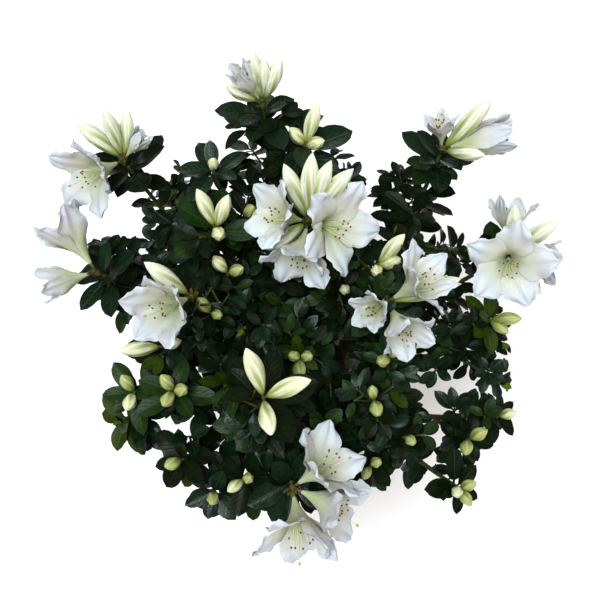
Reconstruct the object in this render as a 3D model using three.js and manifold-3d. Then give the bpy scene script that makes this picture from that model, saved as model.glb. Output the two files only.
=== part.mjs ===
// A young white azalea in flower in a plain clay pot, with its compost, trunk, boughs, masses of foliage
// and trusses of bloom. Millimetres, +Z up. The origin is the middle of the pot's flat underside. A bearing
// is in degrees from +X towards +Y, and a rise is in degrees above the level.
import * as THREE from "three";
import { mergeVertices } from "three/addons/utils/BufferGeometryUtils.js";
import Module from "manifold-3d";

const wasm = await Module();
wasm.setup();

// The clearance between pieces that touch on the real plant.
const GAP = 0.3;

// The pot, its compost and the trunk, which leans to one side and flares at its foot in three blunt lobes.
const POT = { height: 150, topRadius: 82, footRadius: 57, wall: 6, rimHeight: 30, rimProud: 4, floor: 9 };
const POT_SIDES = 24;
const DRAIN = { count: 4, radius: 5, reach: 32, sides: 6 };
const COMPOST = { top: 136, shoulder: 4, crown: 40 };
const TRUNK = { top: 178, footRadius: 9, topRadius: 6.5, lean: 5, leanBearing: 40, sides: 9, steps: 4 };
const FLARE = { width: 5, height: 12, lobes: 3, lobing: 0.3 };

// Radii of the wood, from foot to tip, with the sides and steps of each limb.
const LEAD_BOUGH = { radii: [4.2, 2.5], sides: 5, steps: 2 };
const SIDE_BOUGH = { radii: [3.1, 2.3], sides: 5, steps: 2 };
const STEM = { radii: [2.1, 1.3], sides: 4, steps: 2 };
const TWIG = { radii: [1.35, 0.9], sides: 3, steps: 1 };

// The leaves are fewer and larger than on the real plant. A leaf folds up about its midrib, and its tip
// droops.
const LEAF = { length: 34, width: 15.5, thickness: 1.1, fold: 2.4, droop: 2.5, widest: 0.6, ridge: 0.52 };

// A flower is a funnel with five lobes, and its spread is how far they lean out from its axis, in degrees.
// Flowers and large buds are measured with their stalks.
const FLOWER = { tube: 23, foot: 1.6, throat: 6.5, skin: 1.4, limb: 35, bulge: 2.4, well: 16 };
const LOBES = { count: 5, sides: 2, notch: 0.5 };
const SPREAD = { open: 57, funnel: 43, half: 26, opening: 12 };
const LARGE_BUD = { length: 46, radius: 6.2, foot: 1.6, sides: 5 };
const SMALL_BUD = { length: 17, radius: 4.8, sides: 4 };
const BUD_LEAN = { alone: 14, clustered: 42 };
const HUB = { length: 6, radius: 2.8, sides: 4, heart: 0.6 };

// How the wood grows. A limb's whole curve runs from its foot to its shoot's tip, and bows out and down by
// a share of its length. Its bough is the first stretch, and the rest is the stem of its mass. Side boughs
// leave their lead bough between two shares of its length, and a mass's other stems fork from its first one
// by steps.
const GROWTH = { bow: 0.1, boughShare: 0.46, firstSide: 0.42, lastSide: 0.86, forkStep: 0.12 };
const GOLDEN_ANGLE = 137.5;
const CROTCH = { below: 5, spread: 13, stride: 3 };
const TWIGS = { spacing: 74, from: 0.05, to: 0.85, length: 36, taper: 0.4 };
const TWIG_BEND = { spread: 64, lift: 0.45, middle: 0.55, rise: 0.5 };
const TRIES = { count: 6, fewestLeaves: 3 };
const ROSETTE = { leaves: 5, pitch: 66, pitchSwing: 14, turnSwing: 10, root: 1, climb: 1.1, sideShare: 0.9 };
const SWING = { least: 0.85, range: 0.3 };

// Each mass keeps to the space that lies nearer to its own stems than to any other's, by a margin.
const SPACE = { margin: 1.2, shares: [0.1, 0.4, 0.7, 1] };

// The masses of foliage: name, the mass that leads its side of the crown, and the bearing, reach and height
// of each shoot's tip, with what stands on it: a truss, its mass's cluster of buds, or a number of small
// buds.
const MASSES = [
  mass("back", "", [102, 122, 381, "truss"], [86, 97, 364, "cluster"]),
  mass("left_back", "", [144.5, 164, 342, "truss"]),
  mass("left_front", "", [213, 144, 300, "small", 2], [214, 162, 268], [223, 121, 315, "small"]),
  mass("front", "", [269, 147, 302, "truss"], [255, 145, 285, "small"]),
  mass("front_right", "", [308, 189, 298, "small", 3]),
  mass("right", "", [7, 159, 332, "truss"]),
  mass(
    "top",
    "",
    [72, 28, 368, "truss"],
    [273, 60, 325, "small", 2],
    [348, 36, 332, "small"],
    [222, 52, 318],
  ),
  mass("back_left", "back", [130, 97, 365, "small"], [141, 120, 305]),
  mass("back_low", "back", [96, 160, 282], [70, 150, 250]),
  mass("left", "left_back", [175, 153, 313, "truss"]),
  mass("left_upper", "left_back", [153, 67, 355, "cluster"], [128, 62, 340, "small"]),
  mass("left_back_low", "left_back", [131, 165, 262], [160, 150, 240]),
  mass("left_low", "left_front", [204, 110, 308, "cluster"]),
  mass(
    "left_inner",
    "left_front",
    [196, 78, 343, "truss"],
    [176, 51, 335, "small", 2],
    [236, 92, 306],
    [203.5, 68, 330, "small", 2],
  ),
  mass("front_left", "front", [236, 151, 285, "small"], [247, 159, 268, "small"]),
  mass("front_upper", "front", [258, 103, 363, "cluster"], [284, 104, 308]),
  mass("front_right_inner", "front_right", [305, 138, 303, "small"], [293, 141, 285, "small"]),
  mass("right_front_inner", "front_right", [317, 91, 330, "small"], [301, 107, 325, "small"]),
  mass("right_front", "front_right", [330, 180, 275, "small"], [320, 170, 280, "small", 2]),
  mass("right_low", "right", [349, 148, 320, "cluster"], [348, 162, 280], [339, 171, 272]),
  mass("right_back", "right", [41, 148, 352, "truss"]),
  mass("right_back_low", "right", [52, 165, 265], [26, 160, 245]),
  mass(
    "right_inner",
    "right",
    [337, 70, 348, "truss"],
    [6, 60, 343, "cluster"],
    [24, 84, 330],
    [340, 86, 300],
  ),
];

// What stands in each truss: a flower or a large bud, the bearing and rise of its axis, and its share of the
// full size.
const TRUSSES = {
  back: [
    ["bud", 113, 63, 0.9],
    ["opening", 150, 58, 0.62],
    ["bud", 68, 70, 0.8],
    ["bud", 36, 60, 0.85],
    ["bud", 162, 16, 0.65],
  ],
  left_back: [
    ["funnel", 230, 26, 0.98],
    ["bud", 150, 38, 1],
    ["bud", 112, 57, 0.95],
    ["bud", 72, 46, 0.85],
    ["opening", 36, 38, 0.52],
  ],
  left: [
    ["half", 128, 30, 1],
    ["opening", 202, 8, 0.76],
  ],
  left_inner: [
    ["half", 233, 46, 0.98],
    ["bud", 156, 44, 0.95],
  ],
  front: [
    ["funnel", 26, 42, 0.95],
    ["funnel", 334, 16, 0.98],
    ["open", 280, 18, 1],
  ],
  right: [
    ["open", 252, 46, 0.92],
    ["half", 86, 30, 0.76],
    ["half", 344, 6, 0.7],
    ["bud", 88, 58, 0.9],
    ["bud", 22, 40, 0.95],
    ["bud", 310, -16, 0.85],
  ],
  right_back: [
    ["half", 106, 60, 0.54],
    ["bud", 32, 42, 1.15],
    ["opening", 2, 24, 0.94],
    ["bud", 328, 30, 0.8],
  ],
  right_inner: [
    ["funnel", 13, 44, 0.92],
    ["half", 290, 18, 0.78],
    ["half", 226, 40, 0.6],
    ["bud", 14, 10, 1.2],
  ],
  top: [
    ["open", 320, 38, 0.92],
    ["funnel", 194, 38, 0.8],
    ["funnel", 258, 4, 0.86],
    ["bud", 126, 50, 1],
    ["bud", 90, 52, 1.1],
    ["bud", 64, 50, 1.05],
    ["bud", 40, 42, 1.1],
    ["bud", 226, 14, 0.92],
  ],
};

// The buds of each cluster: large, small, or large and still green, the bearing and rise of its axis, and its
// share of the full size.
const CLUSTERS = {
  back: [
    ["large", 66, 54, 0.76],
    ["small", 138, 42, 1.15],
    ["small", 357, 38, 1.1],
  ],
  left_upper: [
    ["large", 120, 58, 0.76],
    ["large", 42, 58, 0.7],
    ["small", 296, 38, 1.15],
  ],
  left_low: [
    ["large", 198, 28, 0.76],
    ["small", 5, 30, 1],
  ],
  front_upper: [
    ["large", 111, 56, 0.95],
    ["large", 10, 42, 0.88],
    ["large", 280, 30, 0.78],
  ],
  right_low: [
    ["green", 345, 42, 0.56],
    ["green", 310, 24, 0.42],
  ],
  right_inner: [
    ["large", 36, 46, 0.7],
    ["small", 0, 30, 1.2],
    ["small", 265, 40, 1],
  ],
};

const CLAY = material("clay", 0xb0623f, 0.9);
const PEAT = material("compost", 0x2b1c13, 1);
const BARK = material("bark", 0x5d4633, 0.85);
const LEAVES = material("leaves", 0x1c2f1d, 0.4);
const PETALS = material("petals", 0xf3f4ea, 0.5);

const azalea = new THREE.Group();
azalea.name = "potted_azalea";

function material(name, color, roughness) {
  return new THREE.MeshStandardMaterial({ name, color, roughness, metalness: 0 });
}

function mass(name, lead, ...tips) {
  const shoots = tips.map(([bearing, reach, height, carries = "leaves", count = 1]) => {
    return { tip: place(bearing, reach, height), carries, count };
  });
  return { name, lead, shoots };
}

function place(bearing, reach, height) {
  const turn = THREE.MathUtils.degToRad(bearing);
  return new THREE.Vector3(reach * Math.cos(turn), reach * Math.sin(turn), height);
}

function heading(bearing, rise) {
  const climb = THREE.MathUtils.degToRad(rise);
  return place(bearing, Math.cos(climb), Math.sin(climb));
}

function up() {
  return new THREE.Vector3(0, 0, 1);
}

function numbers(count) {
  return [...Array(count).keys()];
}

// A repeatable run of numbers from 0 to 1.
function seededRandom(seed) {
  const modulus = 2147483647;
  const multiplier = 16807;
  let state = 7919 * seed;
  return () => {
    state = (state * multiplier) % modulus;
    return state / modulus;
  };
}

function swing(random) {
  return SWING.least + SWING.range * random();
}

function solidFrom(geometry) {
  const bare = geometry.clone();
  bare.deleteAttribute("normal");
  bare.deleteAttribute("uv");
  const merged = mergeVertices(bare, 1e-4);
  const vertProperties = merged.attributes.position.array;
  const triVerts = new Uint32Array(merged.index.array);
  return new wasm.Manifold(new wasm.Mesh({ numProp: 3, vertProperties, triVerts }));
}

function geometryFrom(solid) {
  const { vertProperties, triVerts } = solid.getMesh();
  const geometry = new THREE.BufferGeometry();
  geometry.setAttribute("position", new THREE.BufferAttribute(vertProperties, 3));
  geometry.setIndex(new THREE.BufferAttribute(triVerts, 1));
  return geometry;
}

// The largest body of a solid, without loose scraps or sealed hollows.
function mainBody(solid) {
  return solid.decompose().reduce((best, body) => (body.volume() > best.volume() ? body : best));
}

function fuse(solids) {
  return mainBody(wasm.Manifold.union(solids));
}

function addPart(name, solid, material) {
  const mesh = new THREE.Mesh(geometryFrom(solid), material);
  mesh.name = name;
  azalea.add(mesh);
}

// Solids that new growth keeps clear of. A mass may touch the entries that it owns.
class Keepout {
  constructor() {
    this.entries = [];
  }

  add(solid, owner = "") {
    this.entries.push({ solid, owner, box: solid.boundingBox() });
  }

  near(solid) {
    const box = solid.boundingBox();
    const meets = (other, axis) => other.min[axis] <= box.max[axis] && box.min[axis] <= other.max[axis];
    return this.entries.filter((entry) => numbers(3).every((axis) => meets(entry.box, axis)));
  }

  isClear(solid, visitor = "anyone") {
    const others = this.near(solid).filter((entry) => entry.owner !== visitor);
    return others.every((entry) => entry.solid.intersect(solid).isEmpty());
  }

  cutFrom(solid) {
    return mainBody(this.near(solid).reduce((left, entry) => left.subtract(entry.solid), solid));
  }
}

// A stretch of a longer curve.
class Stretch extends THREE.Curve {
  constructor(whole, from, to) {
    super();
    this.whole = whole;
    this.from = from;
    this.to = to;
  }

  getPoint(share, target = new THREE.Vector3()) {
    return this.whole.getPoint(THREE.MathUtils.lerp(this.from, this.to, share), target);
  }
}

// A limb's whole curve: it leaves its foot flatter than it arrives at its tip.
function limbCurve(foot, tip) {
  const across = tip.clone().sub(foot);
  const bow = GROWTH.bow * across.length();
  const level = new THREE.Vector3(across.x, across.y, 0).normalize();
  const middle = foot.clone().lerp(tip, 0.5).addScaledVector(level, bow).addScaledVector(up(), -bow);
  return new THREE.QuadraticBezierCurve3(foot, middle, tip);
}

// A tapering round limb, made by bending a cylinder along its curve. It can be grown by an even skin.
function limbSolid(curve, { radii, sides, steps }, skin = 0) {
  const [footRadius, tipRadius] = radii;
  const geometry = new THREE.CylinderGeometry(tipRadius + skin, footRadius + skin, 1, sides, steps);
  const frames = curve.computeFrenetFrames(steps);
  const places = geometry.attributes.position;
  for (let i = 0; i < places.count; i++) {
    const step = Math.round((places.getY(i) + 0.5) * steps);
    const point = curve.getPointAt(step / steps);
    point.addScaledVector(frames.binormals[step], places.getX(i));
    point.addScaledVector(frames.normals[step], places.getZ(i));
    places.setXYZ(i, point.x, point.y, point.z);
  }
  return solidFrom(geometry);
}

function sideOf(direction) {
  const reference = Math.abs(direction.z) > 0.95 ? new THREE.Vector3(1, 0, 0) : up();
  return reference.cross(direction).normalize();
}

// A direction that leaves an axis by a pitch, at a turn about it.
function leaving(axis, pitch, turn) {
  const side = sideOf(axis).applyAxisAngle(axis, THREE.MathUtils.degToRad(turn));
  return axis.clone().applyAxisAngle(side, THREE.MathUtils.degToRad(pitch));
}

// A leaf: an octahedron with its root sunk to the middle of its twig, its sides raised past the middle of its
// length and its tip lowered.
function leafSolid(root, along, above, length) {
  const scale = length / LEAF.length;
  const half = LEAF.thickness / 2;
  const tip = [length, 0, -LEAF.droop * scale];
  const ridge = [LEAF.ridge * length, 0, half];
  const geometry = new THREE.OctahedronGeometry(1);
  const places = geometry.attributes.position;
  for (let i = 0; i < places.count; i++) {
    const [x, y, z] = [places.getX(i), places.getY(i), places.getZ(i)];
    const side = [LEAF.widest * length, (y * LEAF.width * scale) / 2, LEAF.fold * scale];
    const end = x > 0 ? tip : [0, 0, half];
    const face = z > 0 ? ridge : [0, 0, -half];
    places.setXYZ(i, ...(Math.abs(x) > 0.5 ? end : Math.abs(y) > 0.5 ? side : face));
  }
  const normal = above.clone().addScaledVector(along, -above.dot(along)).normalize();
  const frame = new THREE.Matrix4().makeBasis(along, normal.clone().cross(along), normal);
  return solidFrom(geometry.applyMatrix4(frame.setPosition(root)));
}

// A closed shape turned about an axis from an outline of radius and distance along the axis.
function turnedAlong(origin, axis, outline, sides, shape = (geometry) => geometry) {
  const profile = outline.map(([radius, along]) => new THREE.Vector2(radius, along));
  const geometry = shape(new THREE.LatheGeometry(profile, sides));
  const side = sideOf(axis);
  const frame = new THREE.Matrix4().makeBasis(side, axis, side.clone().cross(axis));
  return solidFrom(geometry.applyMatrix4(frame.setPosition(origin)));
}

function largeBudSolid(root, axis, share) {
  const length = LARGE_BUD.length * share;
  const radius = LARGE_BUD.radius * Math.sqrt(share);
  const outline = [
    [0, 0],
    [LARGE_BUD.foot, 0],
    [radius, 0.56 * length],
    [0, length],
  ];
  return turnedAlong(root, axis, outline, LARGE_BUD.sides);
}

function smallBudSolid(root, axis, share) {
  const length = SMALL_BUD.length * share;
  const outline = [
    [0, 0],
    [SMALL_BUD.radius * share, 0.55 * length],
    [0, length],
  ];
  return turnedAlong(root, axis, outline, SMALL_BUD.sides);
}

function rimOf(spread) {
  const lean = THREE.MathUtils.degToRad(spread);
  return [FLOWER.throat + FLOWER.limb * Math.sin(lean), FLOWER.tube + FLOWER.limb * Math.cos(lean)];
}

// A flower's skin goes up the outside of the tube, out to the rim and back down the inside to the well.
// Between two lobes the rim is drawn back towards the throat.
function flowerSolid(root, axis, spread, share) {
  const lean = THREE.MathUtils.degToRad(spread);
  const rim = rimOf(spread);
  const inner = [FLOWER.throat - FLOWER.skin, FLOWER.tube + FLOWER.skin];
  const middle = [
    (inner[0] + rim[0]) / 2 - FLOWER.bulge * Math.cos(lean),
    (inner[1] + rim[1]) / 2 + FLOWER.bulge * Math.sin(lean),
  ];
  const outer = [FLOWER.throat, FLOWER.tube];
  const outline = [[0, 0], [FLOWER.foot, 0], outer, rim, middle, inner, [0, FLOWER.well]];
  const drawLobes = (geometry) => {
    const places = geometry.attributes.position;
    for (let i = 0; i < places.count; i++) {
      const ring = outline[i % outline.length];
      const isNotch = Math.floor(i / outline.length) % LOBES.sides === 0;
      if (isNotch && (ring === rim || ring === middle)) {
        const shrink = THREE.MathUtils.lerp(inner[0], ring[0], LOBES.notch) / ring[0];
        const height = THREE.MathUtils.lerp(inner[1], ring[1], LOBES.notch);
        places.setXYZ(i, places.getX(i) * shrink, height, places.getZ(i) * shrink);
      }
    }
    return geometry.scale(share, share, share);
  };
  return turnedAlong(root, axis, outline, LOBES.count * LOBES.sides, drawLobes);
}

// The whole cone that a flower opens into, which foliage keeps out of.
function flowerSpace(root, axis, spread, share) {
  const [rimRadius, rimHeight] = rimOf(spread);
  const outline = [
    [0, -GAP],
    [FLOWER.foot + GAP, -GAP],
    [FLOWER.throat + GAP, FLOWER.tube],
    [rimRadius + GAP, rimHeight],
    [0, rimHeight],
  ];
  const resize = (geometry) => geometry.scale(share, share, share);
  return turnedAlong(root, axis, outline, LOBES.count * LOBES.sides, resize);
}

// A truss: a short hub on the tip of its shoot, from whose heart the flowers and buds stand.
function trussSolids(name, tip, axis) {
  const foot = tip.clone().addScaledVector(axis, GAP);
  const end = foot.clone().addScaledVector(axis, HUB.length);
  const heart = foot.clone().lerp(end, HUB.heart);
  const shape = { radii: [HUB.radius, HUB.radius], sides: HUB.sides, steps: 1 };
  const hub = limbSolid(new THREE.LineCurve3(foot, end), shape);
  const solids = [hub];
  const spaces = [hub];
  for (const [kind, bearing, rise, share] of TRUSSES[name]) {
    const along = heading(bearing, rise);
    if (kind === "bud") {
      solids.push(largeBudSolid(heart, along, share));
      spaces.push(solids.at(-1));
    } else {
      solids.push(flowerSolid(heart, along, SPREAD[kind], share));
      spaces.push(flowerSpace(heart, along, SPREAD[kind], share));
    }
  }
  return { solid: fuse(solids), space: wasm.Manifold.union(spaces) };
}

// The pot: a tapered body with a proud rim, a flat floor and drain holes.
function potSolid() {
  const { height, topRadius, footRadius, wall, rimHeight, rimProud, floor } = POT;
  const rimFoot = height - rimHeight;
  const outline = [
    [0, 0],
    [footRadius, 0],
    [THREE.MathUtils.lerp(footRadius, topRadius - rimProud, rimFoot / height), rimFoot],
    [topRadius - 1, rimFoot + 1],
    [topRadius, height - 2],
    [topRadius - 2, height],
    [topRadius - rimProud - wall, height],
    [footRadius - wall, floor],
    [0, floor],
  ];
  const holes = numbers(DRAIN.count).map((i) => {
    const centre = place(45 + (360 / DRAIN.count) * i, DRAIN.reach, -floor);
    const hole = [[0, 0], [DRAIN.radius, 0], [DRAIN.radius, 3 * floor], [0, 3 * floor]];
    return turnedAlong(centre, up(), hole, DRAIN.sides);
  });
  return turnedAlong(new THREE.Vector3(), up(), outline, POT_SIDES).subtract(wasm.Manifold.union(holes));
}

// The pot's inner radius at a height, less the clearance to what fills it.
function fillRadius(height) {
  const foot = POT.footRadius - POT.wall;
  const top = POT.topRadius - POT.rimProud - POT.wall;
  return THREE.MathUtils.mapLinear(height, POT.floor, POT.height, foot, top) - 2 * GAP;
}

function compostSolid() {
  const foot = POT.floor + GAP;
  const edge = COMPOST.top - COMPOST.shoulder;
  const outline = [
    [0, foot],
    [fillRadius(foot), foot],
    [fillRadius(edge), edge],
    [COMPOST.crown, COMPOST.top],
    [0, COMPOST.top],
  ];
  return turnedAlong(new THREE.Vector3(), up(), outline, POT_SIDES);
}

// The trunk, from a flat cut at ground level to its fork.
function trunkAxis(height) {
  const share = (height - COMPOST.top) / (TRUNK.top - COMPOST.top);
  return place(TRUNK.leanBearing, TRUNK.lean * share, height);
}

function trunkSolid(skin = 0) {
  const foot = COMPOST.top + GAP;
  const geometry = new THREE.CylinderGeometry(1, 1, 1, TRUNK.sides, TRUNK.steps);
  const places = geometry.attributes.position;
  for (let i = 0; i < places.count; i++) {
    const share = places.getY(i) + 0.5;
    const height = THREE.MathUtils.lerp(foot - skin, TRUNK.top + skin, share ** 1.6);
    const turn = Math.atan2(places.getZ(i), places.getX(i));
    const lobing = 1 - FLARE.lobing + FLARE.lobing * Math.cos(FLARE.lobes * turn);
    const flare = FLARE.width * lobing * Math.max(0, 1 - (height - foot) / FLARE.height) ** 2;
    const radius = THREE.MathUtils.lerp(TRUNK.footRadius, TRUNK.topRadius, share) + flare + skin;
    const reach = radius * Math.hypot(places.getX(i), places.getZ(i));
    const point = trunkAxis(height);
    places.setXYZ(i, point.x + reach * Math.cos(turn), point.y - reach * Math.sin(turn), height);
  }
  return solidFrom(geometry);
}

addPart("pot", potSolid(), CLAY);
addPart("compost", compostSolid(), PEAT);
addPart("trunk", trunkSolid(), BARK);

// The boughs. Each lead springs from the trunk, a little above or below its neighbours, and the top one from
// the fork itself. Every later bough is cut clear of those before it.
function limbFoot({ name, lead }) {
  const peers = MASSES.filter((other) => other.lead === lead);
  const order = peers.findIndex((other) => other.name === name);
  if (lead) {
    const rank = order / Math.max(1, peers.length - 1);
    const share = THREE.MathUtils.lerp(GROWTH.firstSide, GROWTH.lastSide, rank);
    return MASSES.find((other) => other.name === lead).bough.getPointAt(share);
  }
  const drop = (CROTCH.spread * ((order * CROTCH.stride) % peers.length)) / peers.length;
  return trunkAxis(name === "top" ? TRUNK.top - 1 : TRUNK.top - CROTCH.below - drop);
}

const wood = new Keepout();
wood.add(trunkSolid(GAP));
for (const each of MASSES) {
  const whole = limbCurve(limbFoot(each), each.shoots[0].tip);
  const shape = each.lead ? SIDE_BOUGH : LEAD_BOUGH;
  each.bough = new Stretch(whole, 0, GROWTH.boughShare);
  each.stems = [new Stretch(whole, GROWTH.boughShare + (1.1 * GAP) / whole.getLength(), 1)];
  each.shoots.slice(1).forEach(({ tip }, index) => {
    each.stems.push(limbCurve(each.stems[0].getPointAt(GROWTH.forkStep * (index + 1)), tip));
  });
  addPart(`bough_${each.name}`, wood.cutFrom(limbSolid(each.bough, shape)), BARK);
  wood.add(limbSolid(each.bough, shape, 1.3 * GAP));
}

// The trusses. Foliage keeps clear of wood, of the stems of other masses and of bloom.
const growth = new Keepout();
growth.entries.push(...wood.entries);
for (const { name, stems, shoots } of MASSES) {
  stems.forEach((stem, index) => {
    growth.add(limbSolid(stem, STEM, 1.3 * GAP), name);
    if (shoots[index].carries === "truss") {
      const truss = trussSolids(name, shoots[index].tip, stem.getTangentAt(1));
      addPart(`bloom_${name}`, truss.solid, PETALS);
      growth.add(truss.space);
    }
  });
}

const sites = MASSES.flatMap(({ name, stems }) =>
  stems.flatMap((stem) => SPACE.shares.map((share) => ({ name, point: stem.getPointAt(share) }))),
);

function keepsToSpace({ name }, solid) {
  const { vertProperties } = solid.getMesh();
  const corner = new THREE.Vector3();
  for (let i = 0; i < vertProperties.length; i += 3) {
    corner.fromArray(vertProperties, i);
    const distances = { own: Infinity, other: Infinity };
    for (const site of sites) {
      const side = site.name === name ? "own" : "other";
      distances[side] = Math.min(distances[side], corner.distanceTo(site.point));
    }
    if (distances.own + SPACE.margin > distances.other) return false;
  }
  return true;
}

// Whether a leaf or twig keeps to its mass's space, and clear of other limbs, bloom and the mass's own
// growth.
function fits(each, solid) {
  return keepsToSpace(each, solid) && growth.isClear(solid, each.name) && each.growth.isClear(solid);
}

// A rosette of leaves about the end of a shoot or twig. A leaf that doesn't fit is skipped.
function rosette(each, end, axis, size, random) {
  const start = 360 * random();
  const leaves = numbers(ROSETTE.leaves).map((i) => {
    const turn = start + GOLDEN_ANGLE * i + ROSETTE.turnSwing * (random() - 0.5);
    const pitch = ROSETTE.pitch + ROSETTE.pitchSwing * (random() - 0.5);
    const root = end.clone().addScaledVector(axis, -ROSETTE.root - ROSETTE.climb * i);
    return leafSolid(root, leaving(axis, pitch, turn), axis, LEAF.length * size * swing(random));
  });
  return leaves.filter((leaf) => fits(each, leaf));
}

// The buds on a shoot's tip. One small bud stands nearly straight on it, and several lean out round it.
function budsOn(each, { tip, carries, count }, axis, random) {
  const start = 360 * random();
  const lean = count === 1 ? BUD_LEAN.alone : BUD_LEAN.clustered;
  const clustered = () => {
    const rows = CLUSTERS[each.name];
    return rows.map(([size, bearing, rise, share]) => ({ size, along: heading(bearing, rise), share }));
  };
  const ringed = () => {
    const turns = numbers(count).map((i) => start + (360 / count) * i);
    return turns.map((turn) => ({ size: "small", along: leaving(axis, lean, turn), share: swing(random) }));
  };
  const none = () => [];
  const buds = { truss: none, leaves: none, cluster: clustered, small: ringed }[carries]();
  const solids = buds.map(({ size, along, share }, i) => {
    const root = tip.clone().addScaledVector(axis, -1.2 - 0.4 * i);
    return BUD_SIZES[size](root, along, share);
  });
  return solids.filter((bud) => growth.isClear(bud, each.name));
}

// A twig leaves its stem, bends up and ends in a rosette.
function twig(each, stem, share, turn, random) {
  const foot = stem.getPointAt(share);
  const length = TWIGS.length * (1 - TWIGS.taper * share) * swing(random);
  const out = leaving(stem.getTangentAt(share), TWIG_BEND.spread, turn);
  const way = out.addScaledVector(up(), TWIG_BEND.lift).normalize();
  const middle = foot.clone().addScaledVector(way, TWIG_BEND.middle * length);
  const rising = way.clone().addScaledVector(up(), TWIG_BEND.rise).normalize();
  const end = middle.clone().addScaledVector(rising, (1 - TWIG_BEND.middle) * length);
  const curve = new THREE.QuadraticBezierCurve3(foot, middle, end);
  const shaft = limbSolid(curve, TWIG);
  const leaves = rosette(each, end, curve.getTangentAt(1), ROSETTE.sideShare, random);
  return fits(each, shaft) ? { shaft, leaves } : { shaft, leaves: [] };
}

// Twigs leave a stem by the golden angle. Each is tried at a few turns, and grows where most of its leaves
// fit.
function twigsOf(each, stem, random) {
  const reach = stem.getLength() * (TWIGS.to - TWIGS.from);
  const count = Math.max(1, Math.round(reach / TWIGS.spacing));
  return numbers(count).flatMap((k) => {
    const share = THREE.MathUtils.lerp(TWIGS.from, TWIGS.to, (k + 0.5) / count);
    const tries = numbers(TRIES.count).map((attempt) => {
      return twig(each, stem, share, GOLDEN_ANGLE * (k * TRIES.count + attempt), random);
    });
    const fuller = (best, next) => (next.leaves.length > best.leaves.length ? next : best);
    const { shaft, leaves } = tries.reduce(fuller);
    if (leaves.length < TRIES.fewestLeaves) return [];
    [shaft, ...leaves].forEach((solid) => each.growth.add(solid));
    return [shaft, ...leaves];
  });
}

const BUD_SIZES = { large: largeBudSolid, green: largeBudSolid, small: smallBudSolid };

MASSES.forEach((each, index) => {
  const random = seededRandom(index + 1);
  const pieces = each.stems.map((stem) => limbSolid(stem, STEM));
  each.growth = new Keepout();
  each.stems.forEach((stem, order) => {
    const axis = stem.getTangentAt(1);
    const leaves = rosette(each, each.shoots[order].tip, axis, 1, random);
    leaves.forEach((leaf) => each.growth.add(leaf));
    pieces.push(...leaves, ...budsOn(each, each.shoots[order], axis, random));
  });
  each.stems.forEach((stem) => pieces.push(...twigsOf(each, stem, random)));
  addPart(`foliage_${each.name}`, fuse(pieces), LEAVES);
});

export default azalea;
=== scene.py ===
"""A young white azalea in flower in a clay pot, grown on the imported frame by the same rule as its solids.

Lengths in the growth code are millimetres, as in the part's own source. Meshes are in metres.
"""

import functools
import math

import bmesh
import bpy
import numpy as np
from bpy.props import FloatProperty, FloatVectorProperty, IntProperty, PointerProperty
from mathutils import Matrix, Vector
from mathutils.bvhtree import BVHTree


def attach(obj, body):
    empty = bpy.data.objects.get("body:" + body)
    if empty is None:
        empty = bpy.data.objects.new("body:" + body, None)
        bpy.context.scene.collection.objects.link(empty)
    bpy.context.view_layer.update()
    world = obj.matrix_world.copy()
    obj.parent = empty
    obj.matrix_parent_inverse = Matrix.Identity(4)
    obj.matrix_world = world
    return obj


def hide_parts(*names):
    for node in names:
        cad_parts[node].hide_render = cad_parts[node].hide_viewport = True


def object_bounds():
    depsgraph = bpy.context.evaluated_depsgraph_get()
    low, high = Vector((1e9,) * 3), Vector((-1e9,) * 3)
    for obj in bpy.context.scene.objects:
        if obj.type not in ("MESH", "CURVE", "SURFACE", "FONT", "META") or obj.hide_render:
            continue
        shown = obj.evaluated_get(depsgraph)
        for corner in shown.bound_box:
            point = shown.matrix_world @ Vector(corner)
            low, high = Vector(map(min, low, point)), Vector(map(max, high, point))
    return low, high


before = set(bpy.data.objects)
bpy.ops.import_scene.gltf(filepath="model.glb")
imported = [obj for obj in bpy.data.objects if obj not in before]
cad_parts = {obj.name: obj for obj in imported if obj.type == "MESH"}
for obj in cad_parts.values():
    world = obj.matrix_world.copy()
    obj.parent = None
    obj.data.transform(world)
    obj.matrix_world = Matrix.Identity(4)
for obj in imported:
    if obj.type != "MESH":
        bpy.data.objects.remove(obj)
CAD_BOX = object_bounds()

bl_info = {
    "name": "Potted Azalea",
    "version": (1, 0, 0),
    "blender": (4, 5, 0),
    "location": "View3D > Sidebar > Azalea",
    "description": "Grows a white azalea in a clay pot on its packed frame",
    "category": "Add Mesh",
}

MM = 0.001
CIRCLE = 2 * math.pi
GOLDEN_ANGLE = 137.5
UP = np.array([0.0, 0.0, 1.0])

# The plant's sizes and its rule of growth, as in the part's source.
GAP = 0.3
POT_WALL, POT_FLOOR, RIM_PROUD = 6.0, 9.0, 4.0
DRAIN_COUNT, DRAIN_RADIUS, DRAIN_REACH = 4, 5.0, 32.0
COMPOST_TOP, TRUNK_TOP = 136.0, 178.0
TRUNK_LEAN, TRUNK_LEAN_BEARING = 5.0, 40.0
TRUNK_RADII = (9.0, 6.5)
FLARE = {"width": 5.0, "height": 12.0, "lobes": 3, "lobing": 0.3}
BOUGH_SHARE = 0.46
BOW = 0.1
SIDE_SHARES = (0.42, 0.86)
FORK_STEP = 0.12
CROTCH = {"below": 5.0, "spread": 13.0, "stride": 3}
TWIG_BEND = {"spread": 64.0, "lift": 0.45, "middle": 0.55, "rise": 0.5, "taper": 0.4}
TWIG_SHARES = (0.05, 0.9)
SWING = (0.85, 0.3)
HUB_LENGTH, HUB_HEART = 6.0, 0.6
SPACE_SHARES = (0.1, 0.4, 0.7, 1.0)

# How the meshes are divided, the rows and columns of petals and leaves, and how thick these are.
PETAL_ROWS, PETAL_COLUMNS, PETAL_THICKNESS = 20, 14, 0.35
LEAF_ROWS, LEAF_COLUMNS, LEAF_THICKNESS = 8, 4, 0.3

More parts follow.
